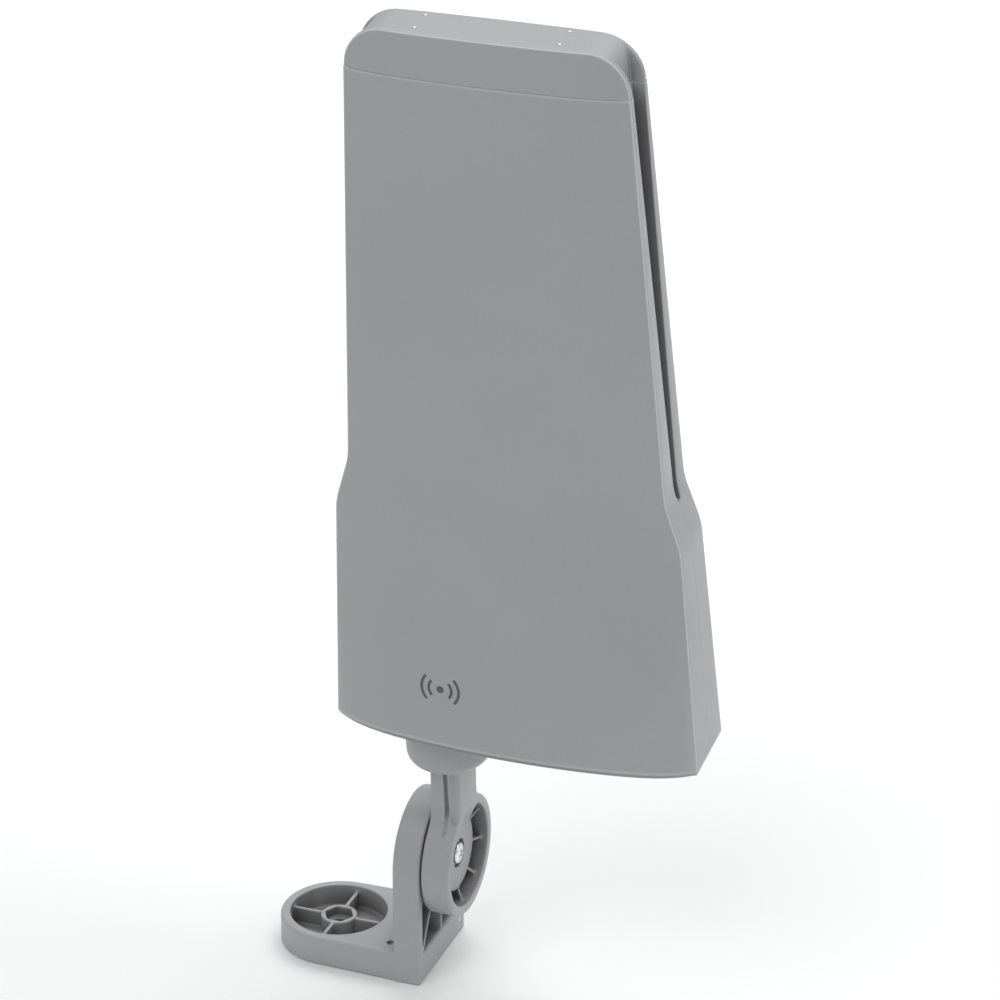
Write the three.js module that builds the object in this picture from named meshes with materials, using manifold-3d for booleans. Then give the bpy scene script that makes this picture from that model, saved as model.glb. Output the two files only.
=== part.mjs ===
// Flat-panel outdoor television antenna on a tilting foot bracket.
//
// Millimetres, +Z up, the receiving face towards -Y. The origin lies on the underside of the foot,
// below the middle of the upright plate. The antenna leans forward on the tilt axis, which runs
// along X through the upright plate, and the housing can turn about the neck.

import * as THREE from 'three';
import { mergeVertices } from 'three/addons/utils/BufferGeometryUtils.js';
import Module from 'manifold-3d';

const wasm = await Module();
wasm.setup();

// ---------------------------------------------------------------------------------------------
// Driving dimensions

const GAP = 0.3; // clearance between pieces that meet
const REACH = 400; // longer than anything it has to cut through

// Bracket
const FOOT_WIDTH = 50;
const FOOT_REACH = 39.3; // from the upright's middle to the centre of the foot's round end
const FOOT_HEIGHT = 12.7;
const FOOT_FLOOR = 3;
const FOOT_END_RADIUS = 23.8; // the foot narrows a little towards its round end
const FOOT_RECESS_RADIUS = 19.8;
const FOOT_HUB_RADIUS = 7.4;
const FOOT_HUB_DROP = 2; // hub and spokes end this far below the foot's top
const FOOT_SPOKE = 1.5;
const BOLT_HOLE_RADIUS = 3.3; // M6 mounting bolt
const BOLT_HEX_RADIUS = 6.1; // pocket for its head or nut, across corners / 2
const UPRIGHT_THICKNESS = 11.5;
const UPRIGHT_WALL = 3.2;
const UPRIGHT_RIM = 4;
const UPRIGHT_SILL = 11; // the ribbed pocket starts this high above the foot's underside
const PIVOT_HEIGHT = 49.4;
const RIB = 1.3;

// Tilt joint
const TILT = THREE.MathUtils.degToRad(7.76); // forward lean of the antenna
const DISC_RADIUS = 25;
const DISC_NEAR = 6.55; // face beside the upright
const DISC_FAR = 17.95; // outer face of the rim
const DISC_HUB_FACE = 13.4;
const DISC_HUB_RADIUS = 15.6;
const DISC_RIM_INNER = 21;
const DISC_FLOOR = 9.4;
const DISC_RIBS = 6;
const DISC_RIB_START = 25; // degrees from +Y towards +Z
const DISC_RIB_STEP = 41.5;
const SCREW_RADIUS = 2.4; // M5
const SCREW_HOLE_RADIUS = 2.8;
const SCREW_HEAD_RADIUS = 4.5;
const SCREW_HEAD_HEIGHT = 2.2;
const COUNTERBORE_RADIUS = 5.6;
const COUNTERBORE_FLOOR = 11;
const WASHER_THICKNESS = 1;
const NUT_RADIUS = 4.6; // M5 hexagon, across corners / 2
const NUT_HEIGHT = 4;

// Neck and swivel, heights from the tilt axis
const NECK_X = (DISC_NEAR + DISC_FAR) / 2;
const NECK_DEPTH = 23;
const NECK_TOP = 47.9;
const NECK_LEAN = 0.9; // the neck's top sits this far to the right and rear of its root
const NECK_DRAFT = 0.25; // and is this much slimmer on every side
const NECK_FILLET = 6.5;
const NECK_GROOVE = 1.8;
const NECK_GROOVE_DEPTH = 1.9;
const SPIGOT_RADIUS = 7.5;
const SPIGOT_TOP = 76.2;
const COLLAR_BOTTOM = NECK_TOP + GAP;
const COLLAR_RADIUS = 17;
const COLLAR_LOWER_EDGE = 5; // radius of the bowl's rounded lower edge

// Housing, heights from the tilt axis
const HOUSING_X = 33.9; // from the neck axis to the housing's middle
const WALL = 2.2;
const SEAM = 0.3;
const HOUSING_BOTTOM = 69.9;
const CAP_LINE = 350;
const HOUSING_TOP = 366.4;
const TOP_CORNER = 15;
const REAR_BULGE = 0.6; // rear face's bulge as a share of the front's
const EDGE_SOFTNESS = 0.4; // share of the bulge that falls away close to the side edges

// Half-width at the sides, half-depth at the side edges and bulge of the front face
const STATIONS = [
  { z: HOUSING_BOTTOM, width: 74.1, depth: 14.7, bulge: 12.2 },
  { z: 168, width: 68.9, depth: 12.1, bulge: 8.4 },
  { z: 187.5, width: 62.9, depth: 11.4, bulge: 6.6 },
  { z: CAP_LINE, width: 53.9, depth: 9.1, bulge: 4.3 },
  { z: HOUSING_TOP, width: 53, depth: 8.8, bulge: 1.4 },
];
const FLARE_SOFTNESS = 4; // half the height over which the flare's kinks are rounded

// Side grooves
const GROOVE_DEPTH = 5;
const GROOVE_END = 183;
const GROOVE_WIDTH_AT_END = 3.6;
const GROOVE_WIDTH_AT_TOP = 12.8;
const GROOVE_REARWARD = 0.9; // offset of the groove's lower end behind the mid-plane

// Inside the housing
const PLATE_BOTTOM = HOUSING_BOTTOM + 1.7;
const PLATE_THICKNESS = 3;
const COLLAR_TOP = PLATE_BOTTOM - GAP;
const SEAL = 1.2;
const CONNECTOR_X = 62; // from the neck axis
const CONNECTOR_Y = 4;
const PCB = { x: 44, width: 62, bottom: 86, top: 144, back: 4.2, thickness: 1.6 };
const CAN = { width: 36, bottom: 96, top: 132, depth: 7, wall: 0.6 };
const REFLECTOR = { back: 6.4, thickness: 0.8, halfWidth: 38, bottom: 204, top: 332 };
const DRIVEN = { back: -3.2, thickness: 1, halfWidth: 37, bottom: 212, top: 326 };
const DIRECTOR = { back: -8.6, thickness: 0.8, halfWidth: 24, height: 9, levels: [236, 269, 302] };

const COLOURS = {
  housing: 0xa9aaac,
  bracket: 0x8f9092,
  steel: 0xc9cacc,
  brass: 0xc0b48a,
  nickel: 0xbfc0c2,
  aluminium: 0xd2d4d6,
  board: 0x2f6b45,
  rubber: 0x2b2c2e,
  white: 0xe9e9e6,
  cable: 0x202124,
};

// ---------------------------------------------------------------------------------------------
// Solids

function solid(geometry) {
  const bare = geometry.clone();
  bare.deleteAttribute('normal');
  bare.deleteAttribute('uv');
  const merged = mergeVertices(bare, 1e-4);
  return new wasm.Manifold(new wasm.Mesh({
    numProp: 3,
    vertProperties: new Float32Array(merged.attributes.position.array),
    triVerts: new Uint32Array(merged.index.array),
  }));
}

function geometryOf(manifold) {
  const { vertProperties, triVerts } = manifold.getMesh();
  const geometry = new THREE.BufferGeometry();
  geometry.setAttribute('position', new THREE.BufferAttribute(vertProperties, 3));
  geometry.setIndex(new THREE.BufferAttribute(triVerts, 1));
  geometry.computeVertexNormals();
  return geometry;
}

const union = (solids) => solids.reduce((all, next) => all.add(next));

function box(x, y, z) {
  const geometry = new THREE.BoxGeometry(x[1] - x[0], y[1] - y[0], z[1] - z[0]);
  geometry.translate((x[0] + x[1]) / 2, (y[0] + y[1]) / 2, (z[0] + z[1]) / 2);
  return solid(geometry);
}

// An outline drawn in the plane across an axis, extruded from one place on that axis to another.
// Across X the outline's axes are Y and Z, across Y they are X and Z, across Z they are X and Y.
function prism(axis, outline, [from, to]) {
  const geometry = new THREE.ExtrudeGeometry(outline, {
    depth: to - from,
    bevelEnabled: false,
    curveSegments: 20,
  });
  const [x, y, z] = [new THREE.Vector3(1, 0, 0), new THREE.Vector3(0, 1, 0), new THREE.Vector3(0, 0, 1)];
  const basis = new THREE.Matrix4();
  if (axis === 'x') {
    basis.makeBasis(y, z, x).setPosition(from, 0, 0);
  } else if (axis === 'y') {
    basis.makeBasis(x, z, y.negate()).setPosition(0, to, 0);
  } else {
    basis.setPosition(0, 0, from);
  }
  geometry.applyMatrix4(basis);
  return solid(geometry);
}

function circle(radius, [u, v] = [0, 0], sides = 24) {
  const points = [];
  for (let i = 0; i < sides; i += 1) {
    const angle = (i / sides) * 2 * Math.PI;
    points.push(new THREE.Vector2(u + radius * Math.cos(angle), v + radius * Math.sin(angle)));
  }
  return new THREE.Shape(points);
}

const hexagon = (radius, centre) => circle(radius, centre, 6);

// A turned solid about Z: the profile is a list of [radius, height], from the axis back to it.
function turned(profile, segments = 24) {
  const points = profile.map(([radius, height]) => new THREE.Vector2(radius, height));
  return solid(new THREE.LatheGeometry(points, segments).rotateX(Math.PI / 2));
}

// A skin through rings of points that all run the same way round, closed by a flat cap at each end.
function loft(rings) {
  const count = rings[0].length;
  const positions = rings.flat().flatMap((point) => point.toArray());
  const index = [];
  for (let ring = 0; ring + 1 < rings.length; ring += 1) {
    for (let i = 0; i < count; i += 1) {
      const a = ring * count + i;
      const b = ring * count + ((i + 1) % count);
      index.push(a, b, b + count, a, b + count, a + count);
    }
  }
  const closeEnd = (start, flip) => {
    const middle = positions.length / 3;
    const centre = new THREE.Vector3();
    for (let i = 0; i < count; i += 1) {
      centre.add(new THREE.Vector3().fromArray(positions, (start + i) * 3));
    }
    positions.push(...centre.divideScalar(count).toArray());
    for (let i = 0; i < count; i += 1) {
      const a = start + i;
      const b = start + ((i + 1) % count);
      index.push(...(flip ? [middle, b, a] : [middle, a, b]));
    }
  };
  closeEnd(0, true);
  closeEnd((rings.length - 1) * count, false);
  const geometry = new THREE.BufferGeometry();
  geometry.setAttribute('position', new THREE.Float32BufferAttribute(positions, 3));
  geometry.setIndex(index);
  return solid(geometry);
}

// A machine screw along Z with its cross-recessed pan head on top, the head's seat at height 0.
function panScrew({ radius, length, headRadius, headHeight }) {
  const crown = headHeight * 0.6;
  const body = turned([
    [0, -length],
    [radius, -length],
    [radius, 0],
    [headRadius, 0],
    [headRadius, headHeight - crown],
    [headRadius * 0.7, headHeight],
    [0, headHeight],
  ], headRadius > 3 ? 32 : 12);
  const arm = headRadius * 0.5;
  const slot = headRadius * 0.11;
  const recess = [headHeight * 0.35, headHeight + 1];
  return body
    .subtract(box([-arm, arm], [-slot, slot], recess))
    .subtract(box([-slot, slot], [-arm, arm], recess));
}

// The same solid with its Z axis turned onto another axis and moved to a place.
function along(direction, place, body) {
  const up = new THREE.Vector3(0, 0, 1);
  const turn = new THREE.Quaternion().setFromUnitVectors(up, new THREE.Vector3(...direction));
  const matrix = new THREE.Matrix4().compose(new THREE.Vector3(...place), turn, new THREE.Vector3(1, 1, 1));
  return body.transform(matrix.elements);
}

// ---------------------------------------------------------------------------------------------
// Bracket: foot, upright plate and the tilt joint's fasteners

const HALF_UPRIGHT = UPRIGHT_THICKNESS / 2;
const HALF_FOOT = FOOT_WIDTH / 2;

function tombstone(halfWidth, bottom) {
  const outline = new THREE.Shape();
  outline.moveTo(-halfWidth, bottom);
  outline.lineTo(halfWidth, bottom);
  outline.lineTo(halfWidth, PIVOT_HEIGHT);
  outline.absarc(0, PIVOT_HEIGHT, halfWidth, 0, Math.PI, false);
  return outline;
}

function foot() {
  const outline = new THREE.Shape();
  outline.moveTo(HALF_UPRIGHT, -HALF_FOOT);
  outline.lineTo(HALF_UPRIGHT, HALF_FOOT);
  outline.lineTo(-FOOT_REACH, FOOT_END_RADIUS);
  outline.absarc(-FOOT_REACH, 0, FOOT_END_RADIUS, Math.PI / 2, (3 * Math.PI) / 2, false);
  const centre = [-FOOT_REACH, 0];
  const hubTop = FOOT_HEIGHT - FOOT_HUB_DROP;
  const spoke = FOOT_RECESS_RADIUS + 1;
  const spokeSpan = [1, hubTop - 0.6];
  const around = (reach) => [-FOOT_REACH - reach, -FOOT_REACH + reach];
  const gateMark = circle(1.6, [-HALF_UPRIGHT - 3.8, -17], 12);
  return prism('z', outline, [0, FOOT_HEIGHT])
    .subtract(prism('z', circle(FOOT_RECESS_RADIUS, centre, 56), [FOOT_FLOOR, REACH]))
    .add(prism('z', circle(FOOT_HUB_RADIUS, centre, 36), [1, hubTop]))
    .add(box(around(spoke), [-FOOT_SPOKE / 2, FOOT_SPOKE / 2], spokeSpan))
    .add(box(around(FOOT_SPOKE / 2), [-spoke, spoke], spokeSpan))
    .subtract(prism('z', hexagon(BOLT_HEX_RADIUS, centre), [FOOT_HEIGHT / 2, REACH]))
    .subtract(prism('z', circle(BOLT_HOLE_RADIUS, centre), [-1, REACH]))
    .subtract(prism('z', gateMark, [FOOT_HEIGHT - 1.5, REACH]));
}

function uprightPlate() {
  const faces = [-HALF_UPRIGHT, HALF_UPRIGHT];
  const pocket = [-HALF_UPRIGHT + UPRIGHT_WALL, REACH];
  const pivot = [0, PIVOT_HEIGHT];
  const ring = prism('x', circle(23.4, pivot, 48), faces)
    .subtract(prism('x', circle(20.6, pivot, 48), pocket));
  const ribs = [-60, -30, 0, 30, 60, 120, 180, 240].map((degrees) => {
    const rib = box(faces, [-RIB / 2, RIB / 2], [-DISC_RADIUS * 1.7, 0]);
    return rib.rotate([degrees, 0, 0]).translate([0, 0, PIVOT_HEIGHT]);
  });
  const inside = prism('x', tombstone(HALF_FOOT - UPRIGHT_RIM / 2, UPRIGHT_SILL - 2), faces);
  const stiffening = union(ribs).intersect(inside);
  const boss = prism('x', circle(9.5, pivot), faces);
  const nutPocket = [-REACH, -HALF_UPRIGHT + NUT_HEIGHT + GAP];
  return prism('x', tombstone(HALF_FOOT, 0), faces)
    .subtract(prism('x', tombstone(HALF_FOOT - UPRIGHT_RIM, UPRIGHT_SILL), pocket))
    .add(ring)
    .add(stiffening)
    .add(boss)
    .subtract(prism('x', circle(SCREW_HOLE_RADIUS, pivot), [-REACH, REACH]))
    .subtract(prism('x', hexagon(NUT_RADIUS + GAP, pivot), nutPocket));
}

const footBracket = () => foot().add(uprightPlate());

function tiltNut() {
  const pivot = [0, PIVOT_HEIGHT];
  const body = prism('x', hexagon(NUT_RADIUS, pivot), [-HALF_UPRIGHT, -HALF_UPRIGHT + NUT_HEIGHT]);
  return body.subtract(prism('x', circle(SCREW_RADIUS + 0.1, pivot), [-REACH, REACH]));
}

function tiltWasher() {
  const pivot = [0, PIVOT_HEIGHT];
  const near = COUNTERBORE_FLOOR + 0.1;
  const body = prism('x', circle(COUNTERBORE_RADIUS - 0.4, pivot), [near, near + WASHER_THICKNESS]);
  return body.subtract(prism('x', circle(SCREW_RADIUS + 0.1, pivot), [-REACH, REACH]));
}

function tiltScrew() {
  const seat = COUNTERBORE_FLOOR + WASHER_THICKNESS + 0.2;
  return along([1, 0, 0], [seat, 0, PIVOT_HEIGHT], panScrew({
    radius: SCREW_RADIUS,
    length: seat + HALF_UPRIGHT,
    headRadius: SCREW_HEAD_RADIUS,
    headHeight: SCREW_HEAD_HEIGHT,
  }));
}

// ---------------------------------------------------------------------------------------------
// Elbow arm: ribbed disc and neck in one moulding. The tilt axis is the origin.

function discOutline() {
  const halfNeck = NECK_DEPTH / 2;
  const reach = DISC_RADIUS + NECK_FILLET;
  const y = halfNeck + NECK_FILLET;
  const z = Math.sqrt(reach * reach - y * y);
  const angle = Math.atan2(z, y);
  const outline = new THREE.Shape();
  outline.moveTo(halfNeck, z);
  outline.lineTo(-halfNeck, z);
  outline.absarc(-y, z, NECK_FILLET, 0, -angle, true);
  outline.absarc(0, 0, DISC_RADIUS, Math.PI - angle, 2 * Math.PI + angle, false);
  outline.absarc(y, z, NECK_FILLET, Math.PI + angle, Math.PI, true);
  return outline;
}

function discRecess() {
  const open = prism('x', circle(DISC_RIM_INNER, [0, 0], 56), [DISC_HUB_FACE, REACH]);
  const ring = prism('x', circle(DISC_RIM_INNER, [0, 0], 56), [DISC_FLOOR, REACH])
    .subtract(prism('x', circle(DISC_HUB_RADIUS, [0, 0], 56), [-REACH, REACH]));
  const rib = new THREE.Shape([
    new THREE.Vector2(DISC_NEAR, DISC_HUB_RADIUS - 1),
    new THREE.Vector2(DISC_HUB_FACE - 0.3, DISC_HUB_RADIUS - 1),
    new THREE.Vector2(DISC_HUB_FACE - 0.3, DISC_HUB_RADIUS),
    new THREE.Vector2(DISC_HUB_FACE + 1.6, DISC_RIM_INNER),
    new THREE.Vector2(DISC_HUB_FACE + 1.6, DISC_RIM_INNER + 1),
    new THREE.Vector2(DISC_NEAR, DISC_RIM_INNER + 1),
  ]);
  const ribs = [];
  for (let i = 0; i < DISC_RIBS; i += 1) {
    const upright = prism('y', rib, [-RIB / 2, RIB / 2]);
    ribs.push(upright.rotate([DISC_RIB_START - 90 - i * DISC_RIB_STEP, 0, 0]));
  }
  // Below the neck there is no ring: the hub's face rises to the neck's over a shallow ramp.
  const rampFoot = 13;
  const rampTop = 29;
  const ramp = new THREE.Shape([
    new THREE.Vector2(DISC_HUB_FACE, 5),
    new THREE.Vector2(REACH, 5),
    new THREE.Vector2(REACH, rampTop),
    new THREE.Vector2(DISC_FAR, rampTop),
    new THREE.Vector2(DISC_HUB_FACE, rampFoot),
  ]);
  const halfNeck = NECK_DEPTH / 2;
  const underNeck = box([-REACH, REACH], [-halfNeck, halfNeck], [rampFoot, REACH]);
  return open.add(ring).subtract(union(ribs)).subtract(underNeck)
    .add(prism('y', ramp, [-halfNeck + 1.6, halfNeck - 1.6]));
}

// A rectangular ring across Z
const rectangleRing = ([x0, x1], [y0, y1], z) => [[x0, y0], [x1, y0], [x1, y1], [x0, y1]]
  .map(([x, y]) => new THREE.Vector3(x, y, z));

function neck() {
  const halfNeck = NECK_DEPTH / 2;
  const low = NECK_LEAN + NECK_DRAFT;
  const high = NECK_LEAN - NECK_DRAFT;
  return loft([
    rectangleRing([DISC_NEAR, DISC_FAR], [-halfNeck, halfNeck], DISC_RADIUS - 5),
    rectangleRing([DISC_NEAR + low, DISC_FAR + high], [-halfNeck + low, halfNeck + high], NECK_TOP),
  ]);
}

function elbowArm() {
  const faces = [DISC_NEAR, DISC_FAR];
  const halfNeck = NECK_DEPTH / 2;
  const grooveMiddle = NECK_X + NECK_LEAN / 2;
  const grooveX = [grooveMiddle - NECK_GROOVE / 2, grooveMiddle + NECK_GROOVE / 2];
  const grooveFloor = halfNeck - NECK_GROOVE_DEPTH;
  // The groove follows the neck down and runs out over the fillet onto the disc.
  const grooveSide = new THREE.Shape([
    new THREE.Vector2(-REACH, NECK_TOP + 1),
    new THREE.Vector2(-REACH, 16),
    new THREE.Vector2(-19.2, 16),
    new THREE.Vector2(-12.8, 21),
    new THREE.Vector2(-grooveFloor, 27),
    new THREE.Vector2(-grooveFloor, NECK_TOP + 1),
  ]);
  const spigot = turned([
    [0, NECK_TOP - 1],
    [SPIGOT_RADIUS, NECK_TOP - 1],
    [SPIGOT_RADIUS, SPIGOT_TOP - 1],
    [SPIGOT_RADIUS - 1, SPIGOT_TOP],
    [0, SPIGOT_TOP],
  ]).translate([NECK_X, 0, 0]);
  return prism('x', discOutline(), faces)
    .add(neck())
    .subtract(discRecess())
    .subtract(prism('x', grooveSide, grooveX))
    .subtract(prism('x', grooveSide, grooveX).mirror([0, 1, 0]))
    .add(spigot)
    .subtract(prism('x', circle(SCREW_HOLE_RADIUS), [-REACH, REACH]))
    .subtract(prism('x', circle(COUNTERBORE_RADIUS, [0, 0], 32), [COUNTERBORE_FLOOR, REACH]))
    .subtract(prism('z', circle(2.2, [NECK_X, 0]), [SPIGOT_TOP - 14, REACH]));
}

function swivelWasher() {
  return prism('z', circle(10.5), [SPIGOT_TOP + GAP, SPIGOT_TOP + GAP + 1.2])
    .subtract(prism('z', circle(2.2), [-REACH, REACH]));
}

function swivelScrew() {
  const seat = SPIGOT_TOP + 2 * GAP + 1.2;
  const screw = panScrew({ radius: 1.9, length: 13, headRadius: 4, headHeight: 2.4 });
  return screw.translate([0, 0, seat]);
}

// ---------------------------------------------------------------------------------------------
// Housing. In the swivel group the neck axis is x = 0 and heights count from the tilt axis.

const mix = (a, b, share) => a + (b - a) * share;

// Half-width, half-depth and bulge at a height, with the kinks between stations rounded.
function straightSize(z) {
  const last = STATIONS.length - 1;
  const above = STATIONS.findIndex((station, i) => i > 0 && (z <= station.z || i === last));
  const [a, b] = [STATIONS[above - 1], STATIONS[above]];
  const share = (z - a.z) / (b.z - a.z);
  return {
    width: mix(a.width, b.width, share),
    depth: mix(a.depth, b.depth, share),
    bulge: mix(a.bulge, b.bulge, share),
  };
}

function sizeAt(z) {
  const steps = 8;
  const near = STATIONS.some(({ z: kink }, i) => i > 0 && i < 3 && Math.abs(z - kink) < FLARE_SOFTNESS);
  if (!near) {
    return straightSize(z);
  }
  const total = { width: 0, depth: 0, bulge: 0 };
  for (let i = 0; i <= steps; i += 1) {
    const size = straightSize(z + FLARE_SOFTNESS * ((2 * i) / steps - 1));
    for (const key of Object.keys(total)) {
      total[key] += size[key] / (steps + 1);
    }
  }
  return total;
}

// Share of the bulge across the face: t runs from -1 at one side edge to 1 at the other.
const crown = (t) => (1 - EDGE_SOFTNESS) * (1 - t ** 2) + EDGE_SOFTNESS * (1 - t ** 8);

function section(z, size, inset = 0) {
  const steps = 13;
  const width = size.width - inset;
  const depth = size.depth - inset;
  const points = [];
  for (const [side, bulge] of [[-1, size.bulge], [1, size.bulge * REAR_BULGE]]) {
    for (let i = 0; i <= steps; i += 1) {
      const t = side * Math.cos((Math.PI * i) / steps);
      points.push(new THREE.Vector3(HOUSING_X + width * t, side * (depth + bulge * crown(t)), z));
    }
  }
  return points;
}

function housingLevels(bottom, top) {
  const levels = [bottom];
  for (const kink of [STATIONS[1].z, STATIONS[2].z]) {
    for (const share of [-1, -0.33, 0.33, 1]) {
      levels.push(kink + share * FLARE_SOFTNESS);
    }
  }
  levels.push(CAP_LINE);
  const cornerSteps = 5;
  for (let i = 0; i <= cornerSteps; i += 1) {
    levels.push(top - TOP_CORNER * (1 - Math.sin((i / cornerSteps) * (Math.PI / 2))));
  }
  return levels.filter((z, i) => i === 0 || z > levels[i - 1] + 0.01);
}

// The housing's outer form, or with an inset the form of its hollow.
function housingForm(inset, bottom, top) {
  const corner = TOP_CORNER - inset;
  const rings = housingLevels(bottom, top).map((z) => {
    const size = { ...sizeAt(z) };
    const into = Math.max(0, z - (top - corner)) / corner;
    size.width -= corner * (1 - Math.sqrt(Math.max(0, 1 - into * into)));
    return section(z, size, inset);
  });
  return loft(rings);
}

// Both side grooves, or with a margin the walls around them.
function grooves(margin = 0) {
  const rings = [];
  const height = HOUSING_TOP - GROOVE_END;
  for (const share of [0, 0.012, 0.03, 1.05]) {
    const z = GROOVE_END - margin + share * (height + margin);
    const up = Math.max(0, (z - GROOVE_END) / height);
    const full = mix(GROOVE_WIDTH_AT_END, GROOVE_WIDTH_AT_TOP, up) / 2 + margin;
    const half = full * (share === 0 ? 0.35 : share < 0.02 ? 0.85 : 1);
    const middle = GROOVE_REARWARD * (1 - up);
    const floor = straightSize(Math.min(z, HOUSING_TOP)).width - GROOVE_DEPTH - margin;
    const outer = STATIONS[0].width + 5;
    rings.push(rectangleRing([floor, outer], [middle - half, middle + half], z));
  }
  const right = loft(rings);
  return right.add(right.mirror([1, 0, 0])).translate([HOUSING_X, 0, 0]);
}

const everyWay = [-REACH, REACH];
const groove = grooves();
const grooveWall = grooves(WALL);
const hollow = housingForm(WALL, HOUSING_BOTTOM - 5, HOUSING_TOP - WALL).subtract(grooveWall);
const skin = housingForm(0, HOUSING_BOTTOM, HOUSING_TOP).subtract(groove).subtract(hollow);
const belowCap = skin.intersect(box(everyWay, everyWay, [-REACH, CAP_LINE - SEAM / 2]));

// Bosses for the shell screws, as [x from the housing's middle, height]
const BOSSES = [[-62, 84], [62, 84], [-57, 152], [57, 152], [-44, 214], [44, 214], [-30, 338.5], [30, 338.5]];
const BOSS_RADIUS = 3.4;
const inForm = housingForm(WALL / 2, HOUSING_BOTTOM, HOUSING_TOP - WALL);

function bosses(from, to) {
  const posts = BOSSES.map(([x, z]) => prism('y', circle(BOSS_RADIUS, [HOUSING_X + x, z], 12), [from, to]));
  return union(posts).intersect(inForm);
}

function bossHoles(radius, from, to) {
  return union(BOSSES.map(([x, z]) => prism('y', circle(radius, [HOUSING_X + x, z], 10), [from, to])));
}

function frontShell() {
  return belowCap
    .intersect(box(everyWay, [-REACH, -SEAM / 2], everyWay))
    .add(bosses(-REACH, -1))
    .subtract(bossHoles(1.2, -8, 0))
    .subtract(groove);
}

const SCREW_SEAT = 7.6; // depth of the shell screws' seats behind the mid-plane

function rearShell() {
  const rods = (centres, radius, span) => {
    return union(centres.map((centre) => prism('y', circle(radius, centre, 12), span)));
  };
  const standoffs = rods(pcbHoles(), 3, [PCB.back + GAP, REACH]);
  const posts = rods(plateHoles(), 2.6, [REFLECTOR.back + REFLECTOR.thickness + GAP, REACH]);
  return belowCap
    .intersect(box(everyWay, [SEAM / 2, REACH], everyWay))
    .add(bosses(1, REACH))
    .add(standoffs.add(posts).intersect(inForm))
    .subtract(bossHoles(1.7, 0, REACH))
    .subtract(bossHoles(2.9, SCREW_SEAT, REACH))
    .subtract(rods(pcbHoles(), 0.9, [0, PCB.back + 6]))
    .subtract(rods(plateHoles(), 0.9, [0, REFLECTOR.back + 4]))
    .subtract(groove);
}

const SKIRT_REACH = 6; // the cap's skirt reaches this far down inside the shells
const SKIRT_WALL = 1.4;

function tube(outerInset, innerInset, bottom, top) {
  const form = (inset, levels) => loft(levels.map((z) => section(z, sizeAt(z), inset)));
  return form(outerInset, [bottom, top]).subtract(form(innerInset, [bottom - 1, top + 1]));
}

function topCap() {
  const inner = WALL + GAP + SKIRT_WALL;
  const root = [CAP_LINE + SEAM / 2, CAP_LINE + 3];
  const skirt = tube(WALL + GAP, inner, CAP_LINE - SKIRT_REACH, root[1])
    .add(tube(WALL / 2, inner, ...root))
    .subtract(grooves(WALL + GAP));
  const pinHoles = capPinPlaces().map((place) => {
    return prism('z', circle(0.7 + GAP / 2, place, 12), [CAP_LINE, REACH]);
  });
  return skin
    .intersect(box(everyWay, everyWay, [CAP_LINE + SEAM / 2, REACH]))
    .add(skirt)
    .subtract(union(pinHoles));
}

function capPinPlaces() {
  return [-27, 27].flatMap((x) => [-5, 5.6].map((y) => [HOUSING_X + x, y]));
}

function capPins() {
  const top = HOUSING_TOP + 0.25;
  return capPinPlaces().map(([x, y]) => turned([
    [0, HOUSING_TOP - 3.4],
    [1.5, HOUSING_TOP - 3.4],
    [1.5, HOUSING_TOP - WALL - 0.2],
    [0.7, HOUSING_TOP - WALL - 0.2],
    [0.7, top - 0.2],
    [0.4, top],
    [0, top],
  ], 12).translate([x, y, 0]));
}

function shellScrews() {
  const screw = panScrew({ radius: 1.1, length: SCREW_SEAT + 6, headRadius: 2.5, headHeight: 1.6 });
  return BOSSES.map(([x, z]) => along([0, 1, 0], [HOUSING_X + x, SCREW_SEAT + 0.2, z], screw));
}

// ---------------------------------------------------------------------------------------------
// Underside: collar, bottom plate and its seal

const COLLAR_SCREW_X = 12.4;

function collar() {
  const steps = 6;
  const profile = [[0, COLLAR_BOTTOM]];
  for (let i = 0; i <= steps; i += 1) {
    const angle = (i / steps) * (Math.PI / 2);
    profile.push([
      COLLAR_RADIUS - COLLAR_LOWER_EDGE * (1 - Math.sin(angle)),
      COLLAR_BOTTOM + COLLAR_LOWER_EDGE * (1 - Math.cos(angle)),
    ]);
  }
  profile.push([COLLAR_RADIUS, COLLAR_TOP], [0, COLLAR_TOP]);
  const screwHoles = [-COLLAR_SCREW_X, COLLAR_SCREW_X]
    .map((x) => prism('z', circle(1, [x, 0], 10), [COLLAR_TOP - 6, REACH]));
  return turned(profile, 48)
    .subtract(prism('z', circle(SPIGOT_RADIUS + GAP), [-REACH, REACH]))
    .subtract(union(screwHoles));
}

function collarScrews() {
  const screw = panScrew({ radius: 0.9, length: 7, headRadius: 2.1, headHeight: 1.3 });
  const seat = PLATE_BOTTOM + PLATE_THICKNESS + 0.2;
  return [-COLLAR_SCREW_X, COLLAR_SCREW_X].map((x) => screw.translate([x, 0, seat]));
}

function plateBlank(inset, bottom, top) {
  return loft([bottom, top].map((z) => section(z, sizeAt(z), inset)));
}

function bottomPlate() {
  const faces = [PLATE_BOTTOM, PLATE_BOTTOM + PLATE_THICKNESS];
  const holes = [-COLLAR_SCREW_X, COLLAR_SCREW_X].map((x) => prism('z', circle(1.2, [x, 0], 10), everyWay));
  return plateBlank(WALL + SEAL + 2 * GAP, ...faces)
    .subtract(prism('z', circle(SPIGOT_RADIUS + GAP), everyWay))
    .subtract(prism('z', circle(5, [CONNECTOR_X, CONNECTOR_Y]), everyWay))
    .subtract(union(holes));
}

function bottomSeal() {
  const faces = [PLATE_BOTTOM, PLATE_BOTTOM + PLATE_THICKNESS];
  return plateBlank(WALL + GAP, ...faces).subtract(plateBlank(WALL + GAP + SEAL, faces[0] - 1, faces[1] + 1));
}

// ---------------------------------------------------------------------------------------------
// Electronics

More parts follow.
